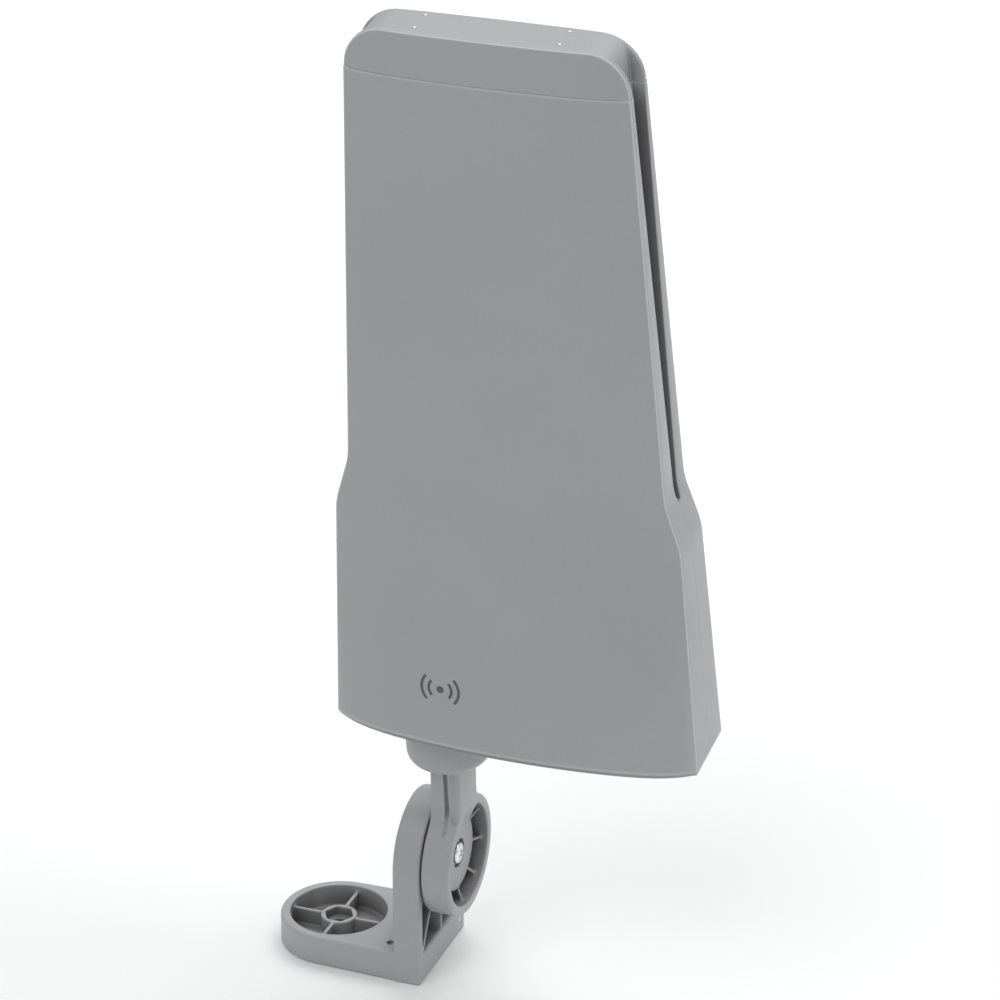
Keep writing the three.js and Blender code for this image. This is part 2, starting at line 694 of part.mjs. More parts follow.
function pcbHoles() {
  const inset = 4;
  return [-1, 1].flatMap((side) => [PCB.bottom + inset, PCB.top - inset]
    .map((z) => [PCB.x + side * (PCB.width / 2 - inset), z]));
}

function amplifierPcb() {
  const board = box(
    [PCB.x - PCB.width / 2, PCB.x + PCB.width / 2],
    [PCB.back - PCB.thickness, PCB.back],
    [PCB.bottom, PCB.top],
  );
  const holes = pcbHoles().map((centre) => prism('y', circle(1.3, centre, 12), everyWay));
  return board.subtract(union(holes));
}

function pcbScrews() {
  const screw = panScrew({ radius: 0.8, length: 5, headRadius: 2, headHeight: 1.2 });
  const seat = PCB.back - PCB.thickness - 0.2;
  return pcbHoles().map(([x, z]) => along([0, -1, 0], [x, seat, z], screw));
}

function shieldCan() {
  const face = PCB.back - PCB.thickness - GAP;
  const x = [PCB.x - CAN.width / 2, PCB.x + CAN.width / 2];
  const inner = [x[0] + CAN.wall, x[1] - CAN.wall];
  return box(x, [face - CAN.depth, face], [CAN.bottom, CAN.top])
    .subtract(box(inner, [face - CAN.depth + CAN.wall, REACH], [CAN.bottom + CAN.wall, CAN.top - CAN.wall]));
}

// The socket's barrel points down through the bottom plate, out of sight behind the housing's rim.
const CONNECTOR_TIP = PLATE_BOTTOM - 9;

function fConnector() {
  const seat = PLATE_BOTTOM + PLATE_THICKNESS + 0.2;
  const barrel = turned([
    [0, CONNECTOR_TIP],
    [4.4, CONNECTOR_TIP],
    [4.7, CONNECTOR_TIP + 0.6],
    [4.7, seat],
    [0, seat],
  ]);
  const flange = prism('z', hexagon(6.6), [seat, seat + 3]);
  const tail = turned([[0, seat + 3], [2.2, seat + 3], [2.2, seat + 5], [0, seat + 5]], 12);
  return union([barrel, flange, tail])
    .subtract(prism('z', circle(3.1), [-REACH, PLATE_BOTTOM]))
    .translate([CONNECTOR_X, CONNECTOR_Y, 0]);
}

function connectorPart(outline, holeRadius, faces) {
  return prism('z', outline, faces)
    .subtract(prism('z', circle(holeRadius), everyWay))
    .translate([CONNECTOR_X, CONNECTOR_Y, 0]);
}

const connectorWasher = () => connectorPart(circle(7), 4.8, [PLATE_BOTTOM - 1, PLATE_BOTTOM - 0.1]);
const connectorNut = () => connectorPart(hexagon(6.4), 4.8, [PLATE_BOTTOM - 3.4, PLATE_BOTTOM - 1.1]);

// A round lead through a short list of bends, each as [x, y, z].
function lead(radius, places) {
  const bends = places.map((place) => new THREE.Vector3(...place));
  const extrudePath = new THREE.CatmullRomCurve3(bends, false, 'centripetal');
  const outline = circle(radius, [0, 0], 8);
  return solid(new THREE.ExtrudeGeometry(outline, { steps: 14, bevelEnabled: false, extrudePath }));
}

function coaxPigtail() {
  const start = PLATE_BOTTOM + PLATE_THICKNESS + 5.6;
  const end = PCB.back - PCB.thickness - 2.4;
  return lead(1.3, [
    [CONNECTOR_X, CONNECTOR_Y, start],
    [CONNECTOR_X, CONNECTOR_Y - 0.6, start + 2],
    [CONNECTOR_X - 3, end - 0.3, start + 8],
    [CONNECTOR_X - 7, end - 0.3, start + 13],
  ]);
}

function feedLine() {
  const face = PCB.back - PCB.thickness - 1.9;
  return lead(1.3, [
    [PCB.x, face, CAN.top + 3],
    [PCB.x, face, CAN.top + 20],
    [HOUSING_X + 2, 1.2, 176],
    [HOUSING_X, 1.2, 208],
    [HOUSING_X, 0.2, 262],
  ]);
}

// ---------------------------------------------------------------------------------------------
// Receiving elements: reflector behind, driven plate in the middle, directors in front

function plateHoles() {
  return [-26, 26].flatMap((x) => [220, 318].map((z) => [HOUSING_X + x, z]));
}

function rectangle(halfWidth, bottom, top) {
  return new THREE.Shape([
    new THREE.Vector2(HOUSING_X - halfWidth, bottom),
    new THREE.Vector2(HOUSING_X + halfWidth, bottom),
    new THREE.Vector2(HOUSING_X + halfWidth, top),
    new THREE.Vector2(HOUSING_X - halfWidth, top),
  ]);
}

function plateScrewHoles() {
  return union(plateHoles().map((centre) => prism('y', circle(1.3, centre, 12), everyWay)));
}

function reflectorPlate() {
  const { back, thickness, halfWidth, bottom, top } = REFLECTOR;
  const slots = [236, 258, 280, 302].map((z) => {
    return prism('y', rectangle(halfWidth - 12, z - 4, z + 4), everyWay);
  });
  return prism('y', rectangle(halfWidth, bottom, top), [back, back + thickness])
    .subtract(union(slots))
    .subtract(plateScrewHoles());
}

// Two stacked loops with a feed gap in the bar between them
function drivenElement() {
  const { back, thickness, halfWidth, bottom, top } = DRIVEN;
  const middle = (bottom + top) / 2;
  const bar = 8;
  const loops = [[bottom + bar, middle - bar / 2], [middle + bar / 2, top - bar]]
    .map(([low, high]) => prism('y', rectangle(halfWidth - bar, low, high), everyWay));
  const sheet = [back, back + thickness];
  const rounds = plateHoles().map((centre) => prism('y', circle(4.5, centre, 16), sheet));
  const tongues = plateHoles().map(([x, z]) => {
    const edge = HOUSING_X + Math.sign(x - HOUSING_X) * (halfWidth - 1);
    return box([Math.min(x, edge), Math.max(x, edge)], sheet, [z - 2.5, z + 2.5]);
  });
  return prism('y', rectangle(halfWidth, bottom, top), sheet)
    .subtract(union(loops))
    .subtract(box([HOUSING_X - 2, HOUSING_X + 2], everyWay, [middle - bar, middle + bar]))
    .add(union([...rounds, ...tongues]))
    .subtract(plateScrewHoles());
}

function directors() {
  const { back, thickness, halfWidth, height, levels } = DIRECTOR;
  return levels.map((z) => {
    const strip = rectangle(halfWidth, z - height / 2, z + height / 2);
    return prism('y', strip, [back, back + thickness])
      .subtract(prism('y', circle(1.3, [HOUSING_X - 16, z], 10), everyWay))
      .subtract(prism('y', circle(1.3, [HOUSING_X + 16, z], 10), everyWay));
  });
}

// Tubes that keep the driven plate off the reflector, one round each plate screw
function elementSpacers() {
  const span = [DRIVEN.back + DRIVEN.thickness + 0.2, REFLECTOR.back - 0.2];
  return plateHoles().map((centre) => prism('y', circle(3, centre, 12), span)
    .subtract(prism('y', circle(1.3, centre, 12), everyWay)));
}

function elementScrews() {
  const seat = DRIVEN.back - 0.2;
  const length = REFLECTOR.back + 3.4 - seat;
  const screw = panScrew({ radius: 0.8, length, headRadius: 2.2, headHeight: 1.3 });
  return plateHoles().map(([x, z]) => along([0, -1, 0], [x, seat, z], screw));
}

// A thin-walled bar across the housing that carries the directors in front of the driven plate
function directorCarrier() {
  const front = DIRECTOR.back + DIRECTOR.thickness + 0.2;
  const rails = [-16, 16].map((x) => box(
    [HOUSING_X + x - 3, HOUSING_X + x + 3],
    [front, DRIVEN.back - 0.3],
    [DIRECTOR.levels[0] - 8, DIRECTOR.levels.at(-1) + 8],
  ));
  const tie = box([HOUSING_X - 19, HOUSING_X + 19], [front + 2, DRIVEN.back - 0.3], [282, 288]);
  const pegPlaces = DIRECTOR.levels.flatMap((z) => [-16, 16].map((x) => [HOUSING_X + x, z]));
  const pegs = pegPlaces.map((place) => {
    return prism('y', circle(1, place, 10), [DIRECTOR.back - 0.6, front + 1]);
  });
  return union([...rails, tie, ...pegs]);
}

// ---------------------------------------------------------------------------------------------
// Scene graph

function part(name, body, colour, roughness = 0.55, metalness = 0) {
  const material = new THREE.MeshStandardMaterial({ color: colour, roughness, metalness });
  const mesh = new THREE.Mesh(geometryOf(body), material);
  mesh.name = name;
  return mesh;
}

// Copies of one piece, numbered from 1
function copies(name, bodies, ...finish) {
  return bodies.map((body, i) => part(`${name}_${i + 1}`, body, ...finish));
}

const bracket = new THREE.Group();
bracket.add(
  part('foot_bracket', footBracket(), COLOURS.bracket, 0.5),
  part('tilt_nut', tiltNut(), COLOURS.steel, 0.35, 0.9),
  part('tilt_washer', tiltWasher(), COLOURS.steel, 0.35, 0.9),
  part('tilt_screw', tiltScrew(), COLOURS.steel, 0.3, 0.9),
);

const swivel = new THREE.Group();
swivel.position.set(NECK_X, 0, 0);
swivel.add(
  part('collar', collar(), COLOURS.housing, 0.5),
  ...copies('collar_screw', collarScrews(), COLOURS.steel, 0.35, 0.9),
  part('bottom_plate', bottomPlate(), COLOURS.housing, 0.5),
  part('bottom_seal', bottomSeal(), COLOURS.rubber, 0.8),
  part('front_shell', frontShell(), COLOURS.housing, 0.5),
  part('rear_shell', rearShell(), COLOURS.housing, 0.5),
  part('top_cap', topCap(), COLOURS.housing, 0.5),
  ...copies('cap_pin', capPins(), COLOURS.white, 0.4),
  ...copies('shell_screw', shellScrews(), COLOURS.steel, 0.35, 0.9),
  part('amplifier_pcb', amplifierPcb(), COLOURS.board, 0.45),
  ...copies('pcb_screw', pcbScrews(), COLOURS.steel, 0.35, 0.9),
  part('shield_can', shieldCan(), COLOURS.nickel, 0.3, 0.9),
  part('f_connector', fConnector(), COLOURS.nickel, 0.3, 0.9),
  part('connector_washer', connectorWasher(), COLOURS.rubber, 0.8),
  part('connector_nut', connectorNut(), COLOURS.nickel, 0.3, 0.9),
  part('coax_pigtail', coaxPigtail(), COLOURS.cable, 0.6),
  part('feed_line', feedLine(), COLOURS.cable, 0.6),
  part('reflector_plate', reflectorPlate(), COLOURS.aluminium, 0.35, 0.9),
  part('driven_element', drivenElement(), COLOURS.brass, 0.35, 0.9),
  ...copies('element_spacer', elementSpacers(), COLOURS.white, 0.6),
  ...copies('element_screw', elementScrews(), COLOURS.steel, 0.35, 0.9),
  part('director_carrier', directorCarrier(), COLOURS.white, 0.6),
  ...copies('director', directors(), COLOURS.aluminium, 0.35, 0.9),
);

const swivelPost = new THREE.Group();
swivelPost.position.set(NECK_X, 0, 0);
swivelPost.add(
  part('swivel_washer', swivelWasher(), COLOURS.steel, 0.35, 0.9),
  part('swivel_screw', swivelScrew(), COLOURS.steel, 0.35, 0.9),
);

const tilting = new THREE.Group();
tilting.position.set(0, 0, PIVOT_HEIGHT);
tilting.rotation.x = TILT;
tilting.add(part('elbow_arm', elbowArm(), COLOURS.bracket, 0.5), swivelPost, swivel);

const antenna = new THREE.Group();
antenna.name = 'outdoor_panel_antenna';
antenna.add(bracket, tilting);

export default antenna;
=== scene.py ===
"""Looks of an outdoor flat-panel television antenna on a tilting foot bracket."""

import math

import bmesh
import bpy
import numpy as np
from mathutils import Matrix, Vector


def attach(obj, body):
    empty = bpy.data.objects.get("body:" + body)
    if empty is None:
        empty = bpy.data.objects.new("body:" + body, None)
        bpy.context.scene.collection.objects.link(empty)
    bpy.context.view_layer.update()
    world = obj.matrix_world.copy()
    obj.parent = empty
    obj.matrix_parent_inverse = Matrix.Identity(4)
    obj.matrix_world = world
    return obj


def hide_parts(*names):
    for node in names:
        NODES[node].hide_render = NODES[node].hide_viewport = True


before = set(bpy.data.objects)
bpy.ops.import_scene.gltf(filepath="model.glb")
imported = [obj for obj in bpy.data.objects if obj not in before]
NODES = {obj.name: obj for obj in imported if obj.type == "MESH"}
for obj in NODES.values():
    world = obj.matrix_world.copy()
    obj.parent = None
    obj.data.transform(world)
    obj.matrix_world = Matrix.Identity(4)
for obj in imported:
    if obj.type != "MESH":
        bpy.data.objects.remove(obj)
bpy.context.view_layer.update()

# ------------------------------------------------------------------------------------------------
# Dimensions, in millimetres. Heights of the arm and the housing count from the tilt axis.

MM = 0.001
CLEAR = 40  # how far the tools that cut the bracket and the arm run past them
VOXEL = 0.4
CREASE = 32  # degrees over which an edge stays crisp
METAL_CREASE = 35

TILT = math.radians(7.76)
PIVOT_HEIGHT = 49.4
NECK_X = 12.25
HOUSING_X = 33.9

FOOT_HEIGHT = 12.7
FOOT_REACH = 39.3
FOOT_END_RADIUS = 23.8
HALF_FOOT = 25.0
HALF_UPRIGHT = 5.75
HALF_RIB = 0.65
PIVOT_HOLE = 2.8

DISC_NEAR = 6.55
DISC_FAR = 17.95
DISC_RADIUS = 25.0
DISC_RIM_INNER = 21.0
DISC_HUB_FACE = 13.4
DISC_HUB_RADIUS = 15.6
DISC_FLOOR = 9.4
HALF_NECK = 11.5
NECK_TOP = 47.9
NECK_LEAN = 0.9
NECK_DRAFT = 0.25
NECK_FILLET = 6.5
NECK_ROUNDING = 3.2
WASHER_RADIUS = 5.2
WASHER_SEAT = 11.1
SPIGOT_RADIUS = 7.5
SPIGOT_TOP = 76.2

WALL = 2.2
HOUSING_BOTTOM = 69.9
CAP_LINE = 350.0
HOUSING_TOP = 366.4
TOP_CORNER = 15.0
GROOVE_DEPTH = 5.0
GROOVE_END = 183.0
GROOVE_LOW_WIDTH = 3.6
GROOVE_WIDENING = 9.2  # from its lower end to the housing's top
GROOVE_SHIFT = 0.9  # of its lower end, towards the rear
GROOVE_ROUND_END = 3.0
FLARE_SOFTNESS = 4.0
# height, half-width, half-depth at the side edges, bulge of the front face
STATIONS = (
    (HOUSING_BOTTOM, 74.1, 14.7, 12.2),
    (168.0, 68.9, 12.1, 8.4),
    (187.5, 62.9, 11.4, 6.6),
    (CAP_LINE, 53.9, 9.1, 4.3),
    (HOUSING_TOP, 53.0, 8.8, 1.4),
)
SHELL_BOSSES = [
    (side * x, z) for x, z in ((62, 84), (57, 152), (44, 214), (30, 338.5)) for side in (-1, 1)
]
BOSS_RADIUS = 3.4
PILOT_HOLE = 1.2
SCREW_HOLE = 1.7
COUNTERBORE = 2.9
COUNTERBORE_FLOOR = 7.6

TO_ROW = Matrix.Scale(MM, 4)
TILTED = (
    Matrix.Scale(MM, 4)
    @ Matrix.Translation((0, 0, PIVOT_HEIGHT))
    @ Matrix.Rotation(TILT, 4, "X")
)
ON_NECK = TILTED @ Matrix.Translation((NECK_X, 0, 0))
TO_X = Matrix.Rotation(math.pi / 2, 4, "Y")
TO_Y = Matrix.Rotation(-math.pi / 2, 4, "X")

# ------------------------------------------------------------------------------------------------
# Solids


def mesh_from(vertices, faces):
    mesh = bpy.data.meshes.new("solid")
    mesh.from_pydata([tuple(map(float, v)) for v in vertices], [], faces)
    shape = bmesh.new()
    shape.from_mesh(mesh)
    bmesh.ops.recalc_face_normals(shape, faces=shape.faces)
    shape.to_mesh(mesh)
    shape.free()
    return mesh


def evaluated(mesh, *modifiers):
    """The mesh after modifiers, each given as (type, {property: value})."""
    holder = bpy.data.objects.new("holder", mesh)
    bpy.context.scene.collection.objects.link(holder)
    for kind, settings in modifiers:
        modifier = holder.modifiers.new(kind, kind)
        for key, value in settings.items():
            setattr(modifier, key, value)
    graph = bpy.context.evaluated_depsgraph_get()
    made = bpy.data.meshes.new_from_object(holder.evaluated_get(graph))
    bpy.data.objects.remove(holder)
    return made


def combine(mesh, others, operation):
    tools = []
    for other in others:
        tool = bpy.data.objects.new("tool", other)
        bpy.context.scene.collection.objects.link(tool)
        tools.append(tool)
    steps = [
        ("BOOLEAN", {"operation": operation, "solver": "MANIFOLD", "object": tool})
        for tool in tools
    ]
    made = evaluated(mesh, *steps)
    for tool in tools:
        bpy.data.objects.remove(tool)
    return made


def cut(mesh, *others):
    return combine(mesh, others, "DIFFERENCE")


def join(mesh, *others):
    return combine(mesh, others, "UNION")


def common(mesh, *others):
    return combine(mesh, others, "INTERSECT")


def together(meshes):
    """One mesh that holds several separate bodies."""
    shape = bmesh.new()
    for mesh in meshes:
        shape.from_mesh(mesh)
    made = bpy.data.meshes.new("bodies")
    shape.to_mesh(made)
    shape.free()
    return made


def counter_clockwise(outline):
    points = np.asarray(outline, float)
    after = np.roll(points, -1, 0)
    area = (points[:, 0] * after[:, 1] - points[:, 1] * after[:, 0]).sum()
    return points if area > 0 else points[::-1]


def inset(points, distance):
    before = points - np.roll(points, 1, 0)
    after = np.roll(points, -1, 0) - points
    normals = []
    for edge in (before, after):
        edge = edge / np.maximum(np.linalg.norm(edge, axis=1), 1e-9)[:, None]
        normals.append(np.stack([-edge[:, 1], edge[:, 0]], 1))
    middle = normals[0] + normals[1]
    middle /= np.linalg.norm(middle, axis=1)[:, None]
    reach = distance / np.maximum((middle * normals[0]).sum(1), 0.3)
    return points + middle * reach[:, None]


def prism(axis, outline, low, high, low_radius=0.0, high_radius=0.0):
    """An outline extruded along an axis, with its end edges rounded.

    Across X the outline's axes are Y and Z, across Y they are X and Z, across Z they are X and Y.
    """
    points = counter_clockwise(outline)
    steps = 6
    levels = []
    for radius, level, way in ((low_radius, low, 1), (high_radius, high, -1)):
        arc = []
        for i in range(steps + 1 if radius else 1):
            angle = i / steps * math.pi / 2
            arc.append((radius * (1 - math.sin(angle)), level + way * radius * (1 - math.cos(angle))))
        levels += arc if way == 1 else arc[::-1]
    vertices = []
    for amount, level in levels:
        for u, v in inset(points, amount) if amount else points:
            place = {"x": (level, u, v), "y": (u, level, v), "z": (u, v, level)}[axis]
            vertices.append(place)
    count = len(points)
    faces = [list(range(count)), list(range(len(vertices) - count, len(vertices)))]
    for ring in range(len(levels) - 1):
        for i in range(count):
            a, b = ring * count + i, ring * count + (i + 1) % count
            faces.append([a, b, b + count, a + count])
    return mesh_from(vertices, faces)


def arc(centre, radius, start, end, steps):
    """Points on an arc, in degrees."""
    angles = np.radians(np.linspace(start, end, steps + 1))
    return [(centre[0] + radius * math.cos(a), centre[1] + radius * math.sin(a)) for a in angles]


def circle(radius, centre=(0, 0), sides=96):
    return arc(centre, radius, 0, 360, sides)[:-1]


def rectangle(x, y):
    return [(x[0], y[0]), (x[1], y[0]), (x[1], y[1]), (x[0], y[1])]


def box(x, y, z):
    return prism("z", rectangle(x, y), *z)


def turned(profile, sides=96):
    """A solid turned about Z from (radius, height) points that run from the axis back to it."""
    ring = profile[1:-1]
    angles = [2 * math.pi * i / sides for i in range(sides)]
    vertices = [(r * math.cos(a), r * math.sin(a), z) for r, z in ring for a in angles]
    vertices += [(0, 0, profile[0][1]), (0, 0, profile[-1][1])]
    faces = []
    for row in range(len(ring) - 1):
        for i in range(sides):
            a, b = row * sides + i, row * sides + (i + 1) % sides
            faces.append([a, b, b + sides, a + sides])
    last = (len(ring) - 1) * sides
    for i in range(sides):
        j = (i + 1) % sides
        faces.append([len(vertices) - 2, j, i])
        faces.append([len(vertices) - 1, last + i, last + j])
    return mesh_from(vertices, faces)


def moved(mesh, matrix):
    made = mesh.copy()
    made.transform(matrix)
    return made


def moulded(mesh, smoothing, keep):
    """Softens every edge the way an injection moulding has them, and keeps a share of the faces."""
    return evaluated(
        mesh,
        ("REMESH", {"mode": "VOXEL", "voxel_size": VOXEL, "use_smooth_shade": True}),
        ("SMOOTH", {"factor": 0.5, "iterations": smoothing}),
        ("DECIMATE", {"ratio": keep}),
    )


def piece(name, mesh, matrix, body, material, stands_for=(), sharp=None):
    """Adds a finished piece; sharp is the angle in degrees over which its edges stay crisp."""
    mesh.transform(matrix)
    mesh.name = name
    mesh.shade_smooth()
    if sharp:
        mesh.set_sharp_from_angle(angle=math.radians(sharp))
    mesh.materials.clear()
    mesh.materials.append(material)
    made = bpy.data.objects.new(name, mesh)
    bpy.context.scene.collection.objects.link(made)
    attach(made, body)
    if stands_for:
        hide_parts(*stands_for)
    return made


# ------------------------------------------------------------------------------------------------
# Materials


class Graph:
    """A small helper that adds and links shader nodes."""

    def __init__(self, name):
        self.material = bpy.data.materials.new(name)
        self.material.use_nodes = True
        self.tree = self.material.node_tree
        self.shader = self.tree.nodes["Principled BSDF"]
        self.place = self.add("ShaderNodeTexCoord").outputs["Object"]

    def add(self, kind, **settings):
        node = self.tree.nodes.new(kind)
        for key, value in settings.items():
            setattr(node, key, value)
        return node

    def link(self, source, target):
        self.tree.links.new(source, target)

    def noise(self, per_metre, detail=2.0, roughness=0.5, stretch=None):
        node = self.add("ShaderNodeTexNoise")
        node.inputs["Scale"].default_value = per_metre
        node.inputs["Detail"].default_value = detail
        node.inputs["Roughness"].default_value = roughness
        source = self.place
        if stretch:
            mapping = self.add("ShaderNodeMapping")
            mapping.inputs["Scale"].default_value = stretch
            self.link(source, mapping.inputs["Vector"])
            source = mapping.outputs["Vector"]
        self.link(source, node.inputs["Vector"])
        return node.outputs["Fac"]

    def span(self, value, low, high, source_low=0.35, source_high=0.65):
        node = self.add("ShaderNodeMapRange")
        node.inputs["From Min"].default_value = source_low
        node.inputs["From Max"].default_value = source_high
        node.inputs["To Min"].default_value = low
        node.inputs["To Max"].default_value = high
        self.link(value, node.inputs["Value"])
        return node.outputs["Result"]

    def blend(self, factor, first, second):
        node = self.add("ShaderNodeMix", data_type="RGBA")
        for value, socket in ((first, node.inputs[6]), (second, node.inputs[7])):
            if isinstance(value, tuple):
                socket.default_value = (*value, 1.0)
            else:
                self.link(value, socket)
        self.link(factor, node.inputs["Factor"])
        return node.outputs[2]

    def bump(self, height, distance, strength=1.0, base=None):
        node = self.add("ShaderNodeBump")
        node.inputs["Distance"].default_value = distance
        node.inputs["Strength"].default_value = strength
        self.link(height, node.inputs["Height"])
        if base:
            self.link(base, node.inputs["Normal"])
        return node.outputs["Normal"]

    def finish(self, colour, roughness, normal=None, metallic=0.0, specular=0.5):
        self.link(colour, self.shader.inputs["Base Color"])
        self.link(roughness, self.shader.inputs["Roughness"])
        if normal:
            self.link(normal, self.shader.inputs["Normal"])
        self.shader.inputs["Metallic"].default_value = metallic
        self.shader.inputs["Specular IOR Level"].default_value = specular
        return self.material


def shade(colour, factor):
    return tuple(min(1.0, channel * factor) for channel in colour)


MOTTLE = 0.03  # unevenness of a plastic's brightness
PAINTED_HIGHLIGHT = 1.55  # brightness of the painted highlight on the housing's edges, as a share of the plastic's
# brightness of the painted highlight on the bracket's edges, as a share of the plastic's
BRACKET_PAINTED_HIGHLIGHT = 1.4
# darkness of the painted shade in the grooves and over the lip, as a share of the plastic's
PAINTED_SHADE = 0.45
# darkness of the painted shade in crevices, and how far the ambient occlusion behind it looks
CREVICE_PAINTED_SHADE = 0.28
PAINTED_SHADE_REACH = 12 * MM


def plastic(name, colour, grain=0.00002, roughness=(0.36, 0.44), edges=None):
    """Moulded plastic with spark-eroded grain, slow flow marks and a little dust.

    Edges get a painted highlight: from the rim attribute if edges is "marked", where the recess
    attribute also paints shade into the grooves and over the lip, or from the mesh's own curvature if
    it is "curved". With either, ambient occlusion paints shade into the crevices.
    """
    g = Graph(name)
    slow = g.noise(9, 3.0)
    speck = g.noise(1600, 2.0)
    tone = g.blend(g.span(slow, 0, 1), shade(colour, 1 - MOTTLE), shade(colour, 1 + MOTTLE))
    tone = g.blend(g.span(speck, 0, 0.5), tone, shade(colour, 1 - 2 * MOTTLE))
    if edges == "marked":
        # marked: painted highlight along the housing's edges, from the rim attribute
        rim = g.add("ShaderNodeAttribute", attribute_name="rim").outputs["Fac"]
        tone = g.blend(g.span(rim, 0, 1, 0, 1), tone, shade(colour, PAINTED_HIGHLIGHT))
        # painted shade in the grooves and over the lip, from the recess attribute
        recess = g.add("ShaderNodeAttribute", attribute_name="recess").outputs["Fac"]
        tone = g.blend(g.span(recess, 0, 1, 0, 1), tone, shade(colour, PAINTED_SHADE))
    elif edges == "curved":
        # curved: painted highlight where the mesh is sharply convex, going by its pointiness
        rim = g.add("ShaderNodeNewGeometry").outputs["Pointiness"]
        tone = g.blend(g.span(rim, 0, 1, 0.53, 0.6), tone, shade(colour, BRACKET_PAINTED_HIGHLIGHT))
    if edges:
        # painted shade: ambient occlusion darkens the colour in crevices
        occlusion_shade = g.add("ShaderNodeAmbientOcclusion", samples=6, only_local=True)
        occlusion_shade.inputs["Distance"].default_value = PAINTED_SHADE_REACH
        open_share = g.span(occlusion_shade.outputs["AO"], 0, 1, 0.2, 0.9)
        tone = g.blend(open_share, shade(colour, CREVICE_PAINTED_SHADE), tone)
    rough = g.span(g.noise(60, 4.0), *roughness)
    fine = g.bump(g.noise(2600, 3.0, 0.6), grain)
    normal = g.bump(g.noise(22, 2.0), 0.00012, 0.6, fine)
    return g.finish(tone, rough, normal)


def metal(name, colour, roughness, stretch=(1, 1, 1)):
    """Plated or rolled metal with fine scratches and slightly uneven brightness."""
    g = Graph(name)
    lines = g.noise(900, 3.0, 0.6, stretch)
    cloud = g.noise(120, 3.0)
    tone = g.blend(g.span(cloud, 0, 1), shade(colour, 0.86), shade(colour, 1.05))
    rough = g.span(lines, *roughness)
    return g.finish(tone, rough, g.bump(lines, 0.00001), metallic=1.0)


def rubber(name, colour):
    g = Graph(name)
    tone = g.blend(g.span(g.noise(300, 3.0), 0, 1), shade(colour, 0.7), shade(colour, 1.4))
    rough = g.span(g.noise(700), 0.65, 0.85)
    return g.finish(tone, rough, g.bump(g.noise(1800), 0.00002), specular=0.3)


def circuit_board(name):
    """Solder mask over copper tracks, with tinned pads."""
    g = Graph(name)
    cells = g.add("ShaderNodeTexVoronoi", feature="F1", distance="CHEBYCHEV")
    cells.inputs["Scale"].default_value = 260
    g.link(g.place, cells.inputs["Vector"])
    tracks = g.span(cells.outputs["Distance"], 0, 1, 0.42, 0.5)
    pads = g.span(cells.outputs["Distance"], 1, 0, 0.1, 0.14)
    tone = g.blend(tracks, (0.02, 0.16, 0.07), (0.035, 0.24, 0.1))
    tone = g.blend(pads, tone, (0.55, 0.54, 0.5))
    return g.finish(tone, g.span(g.noise(400), 0.25, 0.4), g.bump(tracks, 0.00003))


HOUSING = plastic("housing_plastic", (0.366, 0.366, 0.374), edges="marked")
BRACKET = plastic("bracket_plastic", (0.375, 0.375, 0.38), 0.00003, (0.4, 0.5), "curved")
PLATE = plastic("plate_plastic", (0.33, 0.33, 0.335))
MARK = plastic("mark_print", (0.09, 0.092, 0.097), 0.00001, (0.35, 0.42))
PIN = plastic("pin_plastic", (0.82, 0.82, 0.8), 0.00001)
CARRIER = plastic("carrier_plastic", (0.76, 0.75, 0.7), roughness=(0.5, 0.6))
ZINC = metal("screw_zinc", (0.78, 0.79, 0.8), (0.16, 0.32))
NICKEL = metal("nickel", (0.66, 0.64, 0.6), (0.14, 0.26))
ROLLED = (0.04, 1, 1)  # scratches stretched along X
ALUMINIUM = metal("element_aluminium", (0.8, 0.81, 0.82), (0.28, 0.42), ROLLED)
BRASS = metal("element_brass", (0.72, 0.56, 0.28), (0.24, 0.38), ROLLED)
RUBBER = rubber("seal_rubber", (0.02, 0.02, 0.021))
CABLE = rubber("cable_jacket", (0.028, 0.028, 0.03))
BOARD = circuit_board("board")

FINISHES = {
    "bottom_plate": PLATE,
    "bottom_seal": RUBBER,
    "connector_washer": RUBBER,
    "cap_pin": PIN,
    "element_spacer": CARRIER,
    "director_carrier": CARRIER,
    "amplifier_pcb": BOARD,
    "shield_can": NICKEL,
    "f_connector": NICKEL,
    "connector_nut": NICKEL,
    "coax_pigtail": CABLE,
    "feed_line": CABLE,
    "reflector_plate": ALUMINIUM,
    "driven_element": BRASS,
    "director": ALUMINIUM,
}
for node_name, node in NODES.items():
    family = node_name.rstrip("0123456789").rstrip("_")
    node.data.materials.clear()
    node.data.materials.append(FINISHES.get(family, ZINC))
    node.data.set_sharp_from_angle(angle=math.radians(CREASE))

# ------------------------------------------------------------------------------------------------
# Bracket and elbow arm


def tombstone(half_width, bottom):
    sides = [(-half_width, bottom), (half_width, bottom)]
    return sides + arc((0, PIVOT_HEIGHT), half_width, 0, 180, 64)


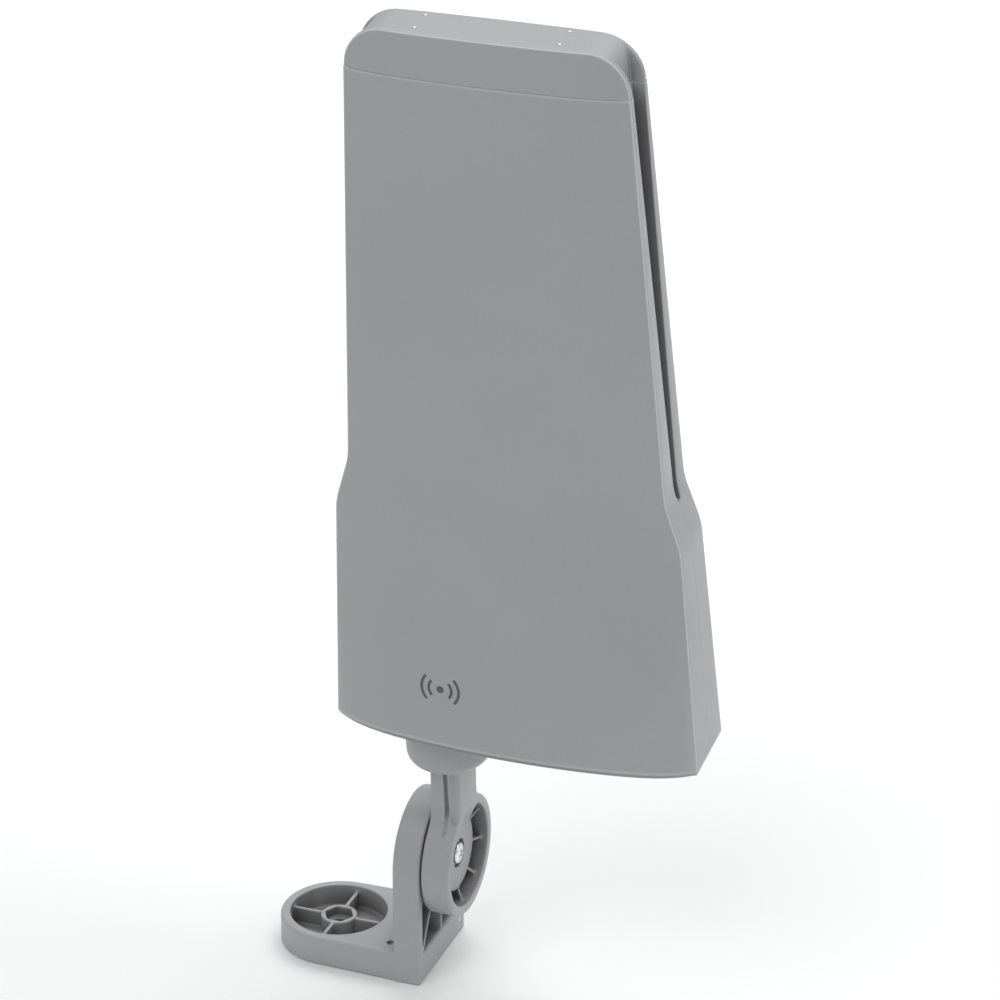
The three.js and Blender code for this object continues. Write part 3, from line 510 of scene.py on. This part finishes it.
def foot_bracket():
    centre = (-FOOT_REACH, 0)
    outline = [(HALF_UPRIGHT, -HALF_FOOT), (HALF_UPRIGHT, HALF_FOOT)]
    outline += arc(centre, FOOT_END_RADIUS, 90, 270, 72)
    foot = prism("z", outline, 0, FOOT_HEIGHT, 0.5, 1.5)
    recess_radius, recess_floor = 19.8, 3
    foot = cut(foot, prism("z", circle(recess_radius, centre, 120), recess_floor, CLEAR))

    hub_radius, hub_top, embedded = 7.4, FOOT_HEIGHT - 2, 1
    half_spoke, spoke_reach = 0.75, recess_radius + 1
    heights = (embedded, hub_top - 0.6)
    spokes = []
    for x, y in ((spoke_reach, half_spoke), (half_spoke, spoke_reach)):
        spokes.append(box((-FOOT_REACH - x, -FOOT_REACH + x), (-y, y), heights))
    foot = join(foot, prism("z", circle(hub_radius, centre), embedded, hub_top, 0, 0.5), *spokes)
    nut_radius, bolt_hole, dimple_radius = 6.1, 3.3, 1.6
    dimple_centre = (-HALF_UPRIGHT - 3.8, -17)
    foot = cut(
        foot,
        prism("z", circle(nut_radius, centre, 6), FOOT_HEIGHT / 2, CLEAR),
        prism("z", circle(bolt_hole, centre, 48), -1, CLEAR),
        prism("z", circle(dimple_radius, dimple_centre, 32), FOOT_HEIGHT - 1.5, CLEAR),
    )

    pivot = (0, PIVOT_HEIGHT)
    ring_outer, ring_inner, boss_radius, rib_reach = 23.4, 20.6, 9.5, 42.5
    wall, side_wall, base = -HALF_UPRIGHT + 3.2, 4, 11
    upright = prism("x", tombstone(HALF_FOOT, 0), -HALF_UPRIGHT, HALF_UPRIGHT, 1.1, 0.9)
    upright = cut(upright, prism("x", tombstone(HALF_FOOT - side_wall, base), wall, CLEAR))
    inside = prism("x", tombstone(HALF_FOOT - 2, base - 2), -HALF_UPRIGHT, HALF_UPRIGHT)
    ribs = []
    for degrees in (-60, -30, 0, 30, 60, 120, 180, 240):
        rib = box((-HALF_UPRIGHT, HALF_UPRIGHT), (-HALF_RIB, HALF_RIB), (-rib_reach, 0))
        turn = Matrix.Rotation(math.radians(degrees), 4, "X")
        rib.transform(Matrix.Translation((0, 0, PIVOT_HEIGHT)) @ turn)
        ribs.append(common(rib, inside))
    ring = cut(
        prism("x", circle(ring_outer, pivot), -HALF_UPRIGHT, HALF_UPRIGHT),
        prism("x", circle(ring_inner, pivot), wall, CLEAR),
    )
    boss = prism("x", circle(boss_radius, pivot), -HALF_UPRIGHT, HALF_UPRIGHT)
    nut_pocket = prism("x", circle(4.9, pivot, 6), -CLEAR, -1.45)
    return cut(
        join(foot, join(upright, ring, boss, *ribs)),
        prism("x", circle(PIVOT_HOLE, pivot, 48), -CLEAR, CLEAR),
        nut_pocket,
    )


def disc_outline():
    """The disc with the neck growing out of it over two fillets."""
    reach = DISC_RADIUS + NECK_FILLET
    y = HALF_NECK + NECK_FILLET
    z = math.sqrt(reach * reach - y * y)
    angle = math.degrees(math.atan2(z, y))
    outline = [(HALF_NECK, NECK_TOP), (-HALF_NECK, NECK_TOP)]
    outline += arc((-y, z), NECK_FILLET, 0, -angle, 12)
    outline += arc((0, 0), DISC_RADIUS, 180 - angle, 360 + angle, 120)[1:-1]
    outline += arc((y, z), NECK_FILLET, 180 + angle, 180, 12)
    return outline


def leaned(mesh):
    """Moves the neck to the side and rear towards its top, and slims it a little."""
    root = DISC_RADIUS - 5
    for vertex in mesh.vertices:
        share = max(0.0, (vertex.co.z - root) / (NECK_TOP - root))
        vertex.co.x += share * (NECK_LEAN - math.copysign(NECK_DRAFT, vertex.co.x - NECK_X))
        vertex.co.y += share * (NECK_LEAN - math.copysign(NECK_DRAFT, vertex.co.y))
    return mesh


def disc_recess():
    """What is hollowed out of the disc's far side: a trough round the hub, crossed by ribs."""
    first_rib, rib_step = 25 - 90, 41.5  # degrees about X
    trough = cut(
        prism("x", circle(DISC_RIM_INNER, sides=120), DISC_FLOOR, CLEAR),
        prism("x", circle(DISC_HUB_RADIUS, sides=120), -CLEAR, CLEAR),
    )
    recess = join(prism("x", circle(DISC_RIM_INNER, sides=120), DISC_HUB_FACE, CLEAR), trough)
    rib_low, rib_high = DISC_HUB_FACE - 0.3, DISC_HUB_FACE + 1.6
    side = [
        (DISC_NEAR, DISC_HUB_RADIUS - 1),
        (rib_low, DISC_HUB_RADIUS - 1),
        (rib_low, DISC_HUB_RADIUS),
        (rib_high, DISC_RIM_INNER),
        (rib_high, DISC_RIM_INNER + 1),
        (DISC_NEAR, DISC_RIM_INNER + 1),
    ]
    ribs = []
    for i in range(6):
        rib = prism("y", side, -HALF_RIB, HALF_RIB)
        rib.transform(Matrix.Rotation(math.radians(first_rib - i * rib_step), 4, "X"))
        ribs.append(rib)
    under_neck = (-HALF_NECK, HALF_NECK), (8, 10 * CLEAR)
    recess = cut(recess, *ribs, box((-CLEAR, CLEAR), *under_neck))
    flat, edge = 13, DISC_RIM_INNER + 0.2
    cone = [(0, DISC_HUB_FACE), (flat, DISC_HUB_FACE), (edge, DISC_FAR), (edge, CLEAR), (0, CLEAR)]
    cone = moved(turned(cone, 120), TO_X)
    return join(recess, common(cone, box((-CLEAR, 2 * CLEAR), *under_neck)))


def elbow_arm():
    """The disc and its neck, whose front is a strip, a narrow groove and a lower, rounded part."""
    body = leaned(prism("x", disc_outline(), DISC_NEAR, DISC_FAR, 0.7, 1.0))
    middle = NECK_X + NECK_LEAN / 2
    low_face, end = -9.9, NECK_TOP + 1
    low_part = [(-CLEAR, end), (-CLEAR, 15.5), (-19.62, 15.5), (-17.7, 17.4), (-15.6, 19.3)]
    low_part += [(-13.4, 21), (-11.6, 23), (-10.6, 25), (-10, 28), (low_face, 30), (low_face, end)]
    groove = [(-CLEAR, end), (-CLEAR, 18.2), (-17, 18.2), (-14, 19.8), (-11.6, 22)]
    groove += [(-9.4, 26), (-8.9, 29), (-8.8, end)]
    rear_groove = [(-y, z) for y, z in groove]
    centre = (DISC_FAR - NECK_ROUNDING, low_face + NECK_ROUNDING)
    corner = arc(centre, NECK_ROUNDING, -90, 0, 10)
    corner += [(DISC_FAR + 8, centre[1]), (DISC_FAR + 8, -16), (centre[0], -16)]
    washer_pocket = prism("x", circle(WASHER_RADIUS + 0.7, sides=64), WASHER_SEAT - 0.4, CLEAR)
    body = cut(
        body,
        disc_recess(),
        prism("x", groove, middle + 0.3, middle + 1.4),
        prism("x", low_part, middle + 1.1, CLEAR),
        prism("x", rear_groove, middle - 0.9, middle + 0.9),
        leaned(prism("z", corner, 22.5, end, 2.5)),
        prism("x", circle(PIVOT_HOLE, sides=48), -CLEAR, CLEAR),
        washer_pocket,
    )
    spigot = turned([
        (0, NECK_TOP - 1),
        (SPIGOT_RADIUS, NECK_TOP - 1),
        (SPIGOT_RADIUS, SPIGOT_TOP - 1),
        (SPIGOT_RADIUS - 1, SPIGOT_TOP),
        (0, SPIGOT_TOP),
    ])
    spigot.transform(Matrix.Translation((NECK_X, 0, 0)))
    screw_hole = prism("z", circle(2.2, (NECK_X, 0), 32), 62, 2 * CLEAR)
    return cut(join(body, spigot), screw_hole)


def collar():
    radius, rounding, bottom, top = 17, 5, 48.2, 71.3
    profile = [(0, bottom)]
    for a in np.linspace(0, math.pi / 2, 14):
        across, up = rounding * (1 - math.sin(a)), rounding * (1 - math.cos(a))
        profile.append((radius - across, bottom + up))
    profile += [(radius, top), (0, top)]
    bore = prism("z", circle(SPIGOT_RADIUS + 0.3), -10, 100)
    hole_radius, hole_x = 1, 12.4
    screw_holes = [prism("z", circle(hole_radius, (x, 0), 16), 65, 90) for x in (-hole_x, hole_x)]
    return cut(cut(turned(profile, 144), bore), *screw_holes)


piece("foot_bracket_moulding", moulded(foot_bracket(), 4, 0.6), TO_ROW, "bracket", BRACKET,
      ["foot_bracket"])
piece("elbow_arm_moulding", moulded(elbow_arm(), 4, 0.6), TILTED, "arm", BRACKET,
      ["elbow_arm"])
piece("collar_moulding", moulded(collar(), 3, 0.5), ON_NECK, "antenna", BRACKET,
      ["collar"])

# ------------------------------------------------------------------------------------------------
# Housing


def straight_size(z):
    heights = [station[0] for station in STATIONS]
    last = len(STATIONS) - 2
    i = min(max(int(np.searchsorted(heights, z, side="left")) - 1, 0), last)
    a, b = STATIONS[i], STATIONS[i + 1]
    share = (z - a[0]) / (b[0] - a[0])
    return np.array(a[1:]) * (1 - share) + np.array(b[1:]) * share


def size_at(z):
    """Half-width, half-depth at the edges and front bulge, with the flare's kinks rounded."""
    if not any(abs(z - STATIONS[i][0]) < FLARE_SOFTNESS for i in (1, 2)):
        return straight_size(z)
    spread = np.linspace(-FLARE_SOFTNESS, FLARE_SOFTNESS, 33)
    return np.mean([straight_size(z + d) for d in spread], axis=0)


def crown(t):
    """The bulge's share at t, which is 0 in the middle of a face and 1 at its side edges."""
    return 0.6 * (1 - t**2) + 0.4 * (1 - t**8)


def groove_at(z):
    """The side groove's half-width and the middle of its width, both from front to rear."""
    up = max(0.0, (z - GROOVE_END) / (HOUSING_TOP - GROOVE_END))
    return (GROOVE_LOW_WIDTH + GROOVE_WIDENING * up) / 2, GROOVE_SHIFT * (1 - up)


def groove_floor(z, amount):
    return straight_size(min(z, HOUSING_TOP))[0] - GROOVE_DEPTH - amount


EDGE_RADIUS = 1.0
EDGE_START = math.radians(14)
REAR_BULGE = 0.6  # as a share of the front's
LIP_HEIGHT = 2.0  # of the chamfer round the housing's open bottom
LIP_DEPTH = 0.9
GROOVE_RUN_OUT = 4.0  # softness with which the groove's floor rises into the top corner
LEAST_HALF_GROOVE = 1.2


class Form:
    """The housing's form, drawn in by some amount, as one closed mesh.

    A profile of the side wall, groove included, runs up one side, over the top and down the other.
    The front and rear faces fill what is inside it. The lip is how deep the chamfer round the
    bottom is.
    """

    def __init__(self, amount, edge=EDGE_RADIUS, bottom=HOUSING_BOTTOM, lip=0.0, grooved=True):
        self.amount, self.edge, self.bottom = amount, edge, bottom
        self.lip, self.grooved = lip, grooved
        self.top = HOUSING_TOP - amount
        self.corner = TOP_CORNER - amount

    def size(self, z):
        width, depth, bulge = size_at(z)
        drawn = self.amount + self.lip * max(0.0, 1 - (z - self.bottom) / LIP_HEIGHT)
        return width - drawn, depth - drawn, bulge

    def outer_width(self, z):
        into = max(0.0, z - (self.top - self.corner)) / self.corner
        return self.size(z)[0] - self.corner * (1 - math.sqrt(max(0.0, 1 - into * into)))

    def face(self, x, z, side):
        _, depth, bulge = self.size(z)
        t = min(1.0, abs(x) / self.outer_width(z))
        return side * (depth + bulge * (1.0 if side < 0 else REAR_BULGE) * crown(t))

    def path(self):
        """Points (x, z, outward x, outward z) up the right side and on to the middle of the top."""
        end = GROOVE_END - self.amount
        start = self.top - self.corner
        levels = {self.bottom + share * LIP_HEIGHT for share in (0, 0.5, 0.95, 1, 1.2, 1.8)}
        levels |= {end - 0.06, end, end + 0.7, end + 1.6, end + 3}
        levels |= set(CAP_LINE + np.array([-1.2, -0.4, 0.4, 1.2]))
        flare_low, flare_high = 161, 197
        levels |= set(np.linspace(self.bottom + 6, flare_low - 3, 14))
        levels |= set(np.linspace(flare_low, flare_high, 28))
        levels |= set(np.linspace(flare_high + 4, CAP_LINE - 3, 25))
        points = [(self.size(z)[0], z, 1.0, 0.0) for z in sorted(levels) if z < start - 0.2]
        for angle in np.linspace(0, math.pi / 2, 25):
            z = start + self.corner * math.sin(angle)
            x = self.size(z)[0] - self.corner + self.corner * math.cos(angle)
            points.append((x, z, math.cos(angle), math.sin(angle)))
        return points

    def groove(self, x, z):
        """How deep the groove is here, its half-width and its middle."""
        if not self.grooved:
            return 0.0, LEAST_HALF_GROOVE, 0.0
        half, middle = groove_at(z)
        above = z - (GROOVE_END - self.amount)
        round_end = math.sqrt(min(1.0, max(0.0, above / GROOVE_ROUND_END)))
        half = (half + self.amount) * (0.45 + 0.55 * round_end)
        depth = 0.0
        if above > -0.01:
            beyond = abs(x) - groove_floor(z, self.amount)
            soft = GROOVE_RUN_OUT
            depth = beyond if beyond > soft else max(0.0, beyond + soft) ** 2 / (4 * soft)
        return depth, max(half, LEAST_HALF_GROOVE), middle

    def profile(self, x, z, nx, nz):
        """The side wall at one place of the path, from the front face's edge to the rear face's."""
        r, a0 = self.edge, EDGE_START
        turns = [a0 + (math.pi / 2 - a0) * i / 6 for i in range(7)]
        first = r * (1 - math.sin(a0))
        ends = []
        for side in (-1, 1):
            edge = self.face(x - first * nx, z - first * nz, side)
            middle = edge - side * r * math.cos(a0)
            ends.append([(r * (1 - math.sin(a)), 0.0, middle + side * r * math.cos(a)) for a in turns])
        depth, half, middle = self.groove(x, z)
        lip = min(0.5, depth)
        low, high = middle - half, middle + half
        sink = [
            (0.0, low - 0.5), (0.3 * lip, low - 0.15), (lip, low),
            (max(lip, depth - 0.4), low + 0.2), (depth, low + 0.6), (depth, middle),
        ]
        groove = [(0.0, d, y) for d, y in sink]
        groove += [(0.0, d, 2 * middle - y) for d, y in sink[-2::-1]]
        across = ends[0] + groove + ends[1][::-1]
        return [(x - i * nx - math.copysign(d, x), y, z - i * nz) for i, d, y in across]

    def mesh(self):
        half_path = self.path()
        last_x = half_path[-1][0]
        top = [(last_x * t, self.top, 0.0, 1.0) for t in np.linspace(1, -1, 49)[1:-1]]
        left = [(-x, z, -nx, nz) for x, z, nx, nz in half_path[::-1]]
        rim = [self.profile(*place) for place in half_path + top + left]
        vertices = [point for profile in rim for point in profile]
        across = len(rim[0])
        faces = []
        for i in range(len(rim) - 1):
            for j in range(across - 1):
                a = i * across + j
                faces.append([a, a + 1, a + across + 1, a + across])
        columns = len(top) + 1
        rows = len(half_path)
        bottoms = []
        for side, column in ((-1, 0), (1, across - 1)):
            grid = []
            for row in range(rows):
                right = row * across + column
                leftmost = (len(rim) - 1 - row) * across + column
                if row == rows - 1:
                    grid.append([(rows - 1 + k) * across + column for k in range(columns + 1)])
                    continue
                x1, _, z = vertices[right]
                x0 = vertices[leftmost][0]
                line = [right]
                for k in range(1, columns):
                    x = x1 + (x0 - x1) * k / columns
                    line.append(len(vertices))
                    vertices.append((x, self.face(x, z, side), z))
                grid.append(line + [leftmost])
            for lower, upper in zip(grid, grid[1:]):
                for k in range(columns):
                    faces.append([lower[k], lower[k + 1], upper[k + 1], upper[k]])
            bottoms.append(grid[0])
        front, rear = bottoms
        bottom = front[::-1] + list(range(1, across - 1)) + rear
        bottom += [(len(rim) - 1) * across + j for j in range(across - 2, 0, -1)]
        faces.append(bottom)
        return mesh_from([(x + HOUSING_X, y, z) for x, y, z in vertices], faces)


FAR = 500
PARTING = 0.04  # half the gap between the shells
CAP_STEP = 0.16  # how far the cap sits inside the shells
CAP_GAP = 0.3  # between the cap's skirt and the shells
SKIRT_WALL = 1.4


def groove_solids(margin):
    """Both side grooves with some margin round them."""
    bodies = []
    for side in (-1, 1):
        vertices, faces = [], []
        for share in (0, 0.012, 0.03, 1.05):
            z = GROOVE_END - margin + share * (HOUSING_TOP - GROOVE_END + margin)
            half, middle = groove_at(z)
            low, high = middle - half - margin, middle + half + margin
            for x, y in rectangle((groove_floor(z, margin), 90), (low, high)):
                vertices.append((HOUSING_X + side * x, y, z))
        for ring in range(3):
            for j in range(4):
                a, b = 4 * ring + j, 4 * ring + (j + 1) % 4
                faces.append([a, b, b + 4, a + 4])
        faces += [[0, 1, 2, 3], [12, 13, 14, 15]]
        bodies.append(mesh_from(vertices, faces))
    return bodies


def plain(amount):
    """The form without grooves or lip, carried on below the housing's open bottom."""
    return Form(amount, edge=0.6, bottom=HOUSING_BOTTOM - 6, grooved=False).mesh()


def slab(z, y=(-FAR, FAR)):
    return box((-FAR, FAR), y, z)


outer = Form(0, lip=LIP_DEPTH).mesh()
hollow = cut(plain(WALL), *groove_solids(WALL))
within_walls = plain(WALL / 2)
below_cap = common(cut(outer, hollow), slab((0, CAP_LINE - PARTING)))


def rods(radius, low, high):
    """A rod on the axis of each shell screw."""
    return together([
        prism("y", circle(radius, (HOUSING_X + x, z), 32), low, high) for x, z in SHELL_BOSSES
    ])


def front_shell():
    shell = common(below_cap, slab((0, FAR), (-FAR, -PARTING)))
    shell = join(shell, common(rods(BOSS_RADIUS, -CLEAR, -1), within_walls))
    return cut(shell, rods(PILOT_HOLE, -8, 0))


def rear_shell():
    shell = common(below_cap, slab((0, FAR), (PARTING, FAR)))
    shell = join(shell, common(rods(BOSS_RADIUS, 1, CLEAR), within_walls))
    return cut(shell, rods(SCREW_HOLE, 0, 60), rods(COUNTERBORE, COUNTERBORE_FLOOR, 60))


def top_cap():
    """The cap sits a hair inside the shells, so that their rim shows as a fine line."""
    cap = common(cut(Form(CAP_STEP).mesh(), hollow), slab((CAP_LINE + PARTING, FAR)))
    inner = plain(WALL + CAP_GAP + SKIRT_WALL)
    skirt = common(cut(plain(WALL + CAP_GAP), inner), slab((CAP_LINE - 6, CAP_LINE + 3)))
    root = common(cut(within_walls, inner), slab((CAP_LINE + PARTING, CAP_LINE + 3)))
    skirt = cut(join(skirt, root), *groove_solids(WALL + CAP_GAP))
    pin_hole = 0.85
    pin_holes = [
        prism("z", circle(pin_hole, (HOUSING_X + x, y), 24), CAP_LINE, FAR)
        for x in (-27, 27) for y in (-5, 5.6)
    ]
    return cut(join(cap, skirt), *pin_holes)


FAINT = 0.4  # strength of the painted highlight lines over the lip and under the cap
HALF_LINE = 0.25
# strength of the painted shade over the lip's slope
LIP_PAINTED_SHADE = 0.6
RIM_WIDTH = 1.9
TOP_RIM_WIDTH = 2.6
FADE = 10  # height under the cap over which the painted shade on the groove's walls fades in


def mark_painted_light(mesh):
    """Stores how much each point is on an outer edge, and how much in a groove or on the lip.

    The edges and thin lines over the lip and under the cap get a painted highlight, and the grooves
    and the lip's slope get painted shade.
    """
    count = len(mesh.vertices)
    normals = np.zeros(count * 3, np.float32)
    mesh.vertices.foreach_get("normal", normals)
    places = np.zeros(count * 3, np.float32)
    mesh.vertices.foreach_get("co", places)
    x, y, z = np.abs(places.reshape(-1, 3) - (HOUSING_X, 0, 0)).T
    heights = np.linspace(HOUSING_BOTTOM, HOUSING_TOP, 1200)
    form = Form(0)
    inward = np.interp(z, heights, [form.outer_width(height) for height in heights]) - x
    behind_edge = np.interp(z, heights, [size_at(height)[1] for height in heights]) - y
    across = np.abs(normals.reshape(-1, 3)[:, 1]).clip(0, 1)
    slanting = 2 * across * np.sqrt(1 - across**2)
    near_outline = (inward < RIM_WIDTH) | (z > HOUSING_TOP - TOP_RIM_WIDTH)
    # painted highlight on the outer edges, where the normal slants between the face and the side
    rim = ((slanting - 0.74) / 0.2).clip(0, 1) * ((behind_edge < 1) & near_outline)
    lip = HOUSING_BOTTOM + LIP_HEIGHT
    # painted highlight lines just over the lip and just under the cap line
    for line in (lip + 0.2, CAP_LINE - HALF_LINE):
        rim = np.maximum(rim, FAINT * (np.abs(z - line) < HALF_LINE))
    in_groove = (behind_edge > 1.2) & (z > GROOVE_END - 2)
    fade = ((CAP_LINE - z) / FADE).clip(0, 1)
    # painted shade on the groove walls, fading out towards the cap, and on the lip's slope
    recess = ((inward - 0.2) / 0.3).clip(0, 1) * fade * in_groove + LIP_PAINTED_SHADE * (z < lip - 0.02)
    for name, values in (("rim", rim), ("recess", recess)):
        attribute = mesh.attributes.new(name, "FLOAT", "POINT")
        attribute.data.foreach_set("value", values.astype(np.float32))
    return mesh


for part, make in (("front_shell", front_shell), ("rear_shell", rear_shell), ("top_cap", top_cap)):
    piece(f"{part}_moulding", mark_painted_light(make()), ON_NECK, "antenna", HOUSING,
          [part], CREASE)

# ------------------------------------------------------------------------------------------------
# Fasteners


def pan_screw(radius, length, head_radius, head_height):
    """A cross-recessed pan-head screw along Z, its seat at height 0."""
    dome = [
        (head_radius * math.cos(a) ** 0.6, head_height * (0.35 + 0.65 * math.sin(a)))
        for a in np.linspace(0, math.pi / 2, 12)
    ]
    profile = [(0, -length), (radius * 0.8, -length), (radius, -length + 0.5), (radius, 0)]
    profile += [(head_radius * 0.97, 0), (head_radius, head_height * 0.12)]
    profile += dome[:-1] + [(0, head_height)]
    body = turned(profile, 72)
    arm, slot = head_radius * 0.56, head_radius * 0.15
    deep, shallow = head_height * 0.2, head_height + 0.4
    tip, edge = arm * 0.45, slot * 0.6
    low, high = rectangle((tip, -tip), (edge, -edge)), rectangle((arm, -arm), (slot, -slot))
    points = [(x, y, deep) for x, y in low] + [(x, y, shallow) for x, y in high]
    sides = [[i, (i + 1) % 4, (i + 1) % 4 + 4, i + 4] for i in range(4)]
    wings = []
    for turn in (0, math.pi / 2):
        wing = mesh_from(points, [[0, 1, 2, 3], [4, 5, 6, 7]] + sides)
        wing.transform(Matrix.Rotation(turn + 0.3, 4, "Z"))
        wings.append(wing)
    return cut(body, *wings)


def washer(outer_radius, inner_radius, thickness):
    ring = prism("z", circle(outer_radius, sides=64), 0, thickness, 0.12, 0.12)
    return cut(ring, prism("z", circle(inner_radius, sides=48), -1, thickness + 1))


SCREW_SEAT = 12.2
SHELL_SCREW_SEAT = 7.8


def on_pivot(seat):
    return TO_ROW @ Matrix.Translation((0, 0, PIVOT_HEIGHT)) @ Matrix.Translation((seat, 0, 0)) @ TO_X


tilt_screw = pan_screw(
    radius=2.4, length=SCREW_SEAT + HALF_UPRIGHT, head_radius=4.5, head_height=2.2
)
tilt_washer = washer(outer_radius=WASHER_RADIUS, inner_radius=2.5, thickness=1)
piece("tilt_screw_zinc", tilt_screw, on_pivot(SCREW_SEAT),
      "bracket", ZINC, ["tilt_screw"], METAL_CREASE)
piece("tilt_washer_zinc", tilt_washer, on_pivot(WASHER_SEAT),
      "bracket", ZINC, ["tilt_washer"], METAL_CREASE)
for number, (x, z) in enumerate(SHELL_BOSSES, 1):
    shell_screw = pan_screw(radius=1.1, length=13.6, head_radius=2.5, head_height=1.6)
    piece(f"shell_screw_zinc_{number}", shell_screw,
          ON_NECK @ Matrix.Translation((HOUSING_X + x, SHELL_SCREW_SEAT, z)) @ TO_Y, "antenna", ZINC,
          [f"shell_screw_{number}"], METAL_CREASE)

# ------------------------------------------------------------------------------------------------
# A plain printed mark on the front face: a dot between two arcs on each side


FRONT = Form(0)
MARK_PLACE = (-26.0, 97.0)
PRINT_UNDERSIDE, PRINT_TOP = 0.02, 0.09  # over the face
DOT_RADIUS = 1.5
ARC_RADII = (4.2, 7.2)
ARC_WIDTH = 1.1
ARC_SWEEP = 84


def mark():
    vertices, faces = [], []

    def strip(inner, outer_edge, start, end, steps):
        first = len(vertices)
        section = [(inner, PRINT_UNDERSIDE), (inner, PRINT_TOP)]
        section += [(outer_edge, PRINT_TOP), (outer_edge, PRINT_UNDERSIDE)]
        for a in np.radians(np.linspace(start, end, steps + 1)):
            for radius, lift in section:
                x = MARK_PLACE[0] + radius * math.cos(a)
                z = MARK_PLACE[1] + radius * math.sin(a)
                vertices.append((HOUSING_X + x, FRONT.face(x, z, -1) - lift, z))
        for i in range(steps):
            for j in range(4):
                a, b = first + 4 * i + j, first + 4 * i + (j + 1) % 4
                faces.append([a, b, b + 4, a + 4])
        faces.append([first + j for j in range(4)])
        faces.append([first + 4 * steps + j for j in range(4)])

    strip(0.001, DOT_RADIUS, 0, 359, 40)
    for radius in ARC_RADII:
        for start in (-ARC_SWEEP // 2, 180 - ARC_SWEEP // 2):
            strip(radius, radius + ARC_WIDTH, start, start + ARC_SWEEP, 28)
    return mesh_from(vertices, faces)


piece("signal_mark", mark(), ON_NECK, "antenna", MARK, sharp=METAL_CREASE)

# ------------------------------------------------------------------------------------------------
# Camera, floor and light

AZIMUTH, ELEVATION = math.radians(20.44), math.radians(24.71)
TARGET = Vector((30.79, 0, 207.67)) * MM
DISTANCE = 1.54459
LENS, SENSOR = 145.39, 36
FLOOR_HALF = 6.0  # in metres, like the drop that keeps the floor clear of the bracket's underside
FLOOR_DROP = 0.0001
away = Vector((
    math.sin(AZIMUTH) * math.cos(ELEVATION),
    -math.cos(AZIMUTH) * math.cos(ELEVATION),
    math.sin(ELEVATION),
))
camera_data = bpy.data.cameras.new("camera")
camera_data.lens = LENS
camera_data.sensor_width = SENSOR
camera_data.clip_start = 0.05
camera = bpy.data.objects.new("camera", camera_data)
camera.location = TARGET + away * DISTANCE
camera.rotation_euler = (-away).to_track_quat("-Z", "Y").to_euler()
bpy.context.scene.collection.objects.link(camera)
bpy.context.scene.camera = camera


def floor_material():
    g = Graph("floor")
    tone = g.blend(g.span(g.noise(3, 2.0), 0, 1), (0.9, 0.9, 0.9), (0.92, 0.92, 0.92))
    return g.finish(tone, g.span(g.noise(8), 0.85, 0.9), specular=0.1)


floor_corners = rectangle((-FLOOR_HALF, FLOOR_HALF), (-FLOOR_HALF, FLOOR_HALF))
floor = bpy.data.objects.new("floor", mesh_from([(x, y, 0) for x, y in floor_corners], [[0, 1, 2, 3]]))
floor.location.z = -FLOOR_DROP
floor.data.materials.append(floor_material())
bpy.context.scene.collection.objects.link(floor)


def softbox(name, place, size, power, aim=(0.03, 0, 0.2), spread=180):
    """A soft light, its place, size and aim in metres, power in watts and spread in degrees."""
    light = bpy.data.lights.new(name, "AREA")
    light.shape = "RECTANGLE"
    light.size, light.size_y = size
    light.energy = power
    light.spread = math.radians(spread)
    holder = bpy.data.objects.new(name, light)
    holder.location = place
    toward = Vector(aim) - Vector(place)
    holder.rotation_euler = toward.to_track_quat("-Z", "Y").to_euler()
    bpy.context.scene.collection.objects.link(holder)


softbox("front", (-0.1, -0.75, 1.15), (0.9, 0.6), 1.25, (0.03, 0, 0.4), 90)
softbox("right_side", (1.8, 0.3, 1.3), (0.9, 1.3), 7.4)
softbox("floor_behind", (-0.2, 1.2, 1.9), (2.6, 1.6), 13.6, (-0.25, 0.9, 0), 100)

world = bpy.data.worlds.new("world")
world.use_nodes = True
background = world.node_tree.nodes["Background"]
background.inputs["Color"].default_value = (0.98, 0.99, 1.0, 1.0)
background.inputs["Strength"].default_value = 0.5
bpy.context.scene.world = world
bpy.context.scene.view_settings.view_transform = "Standard"
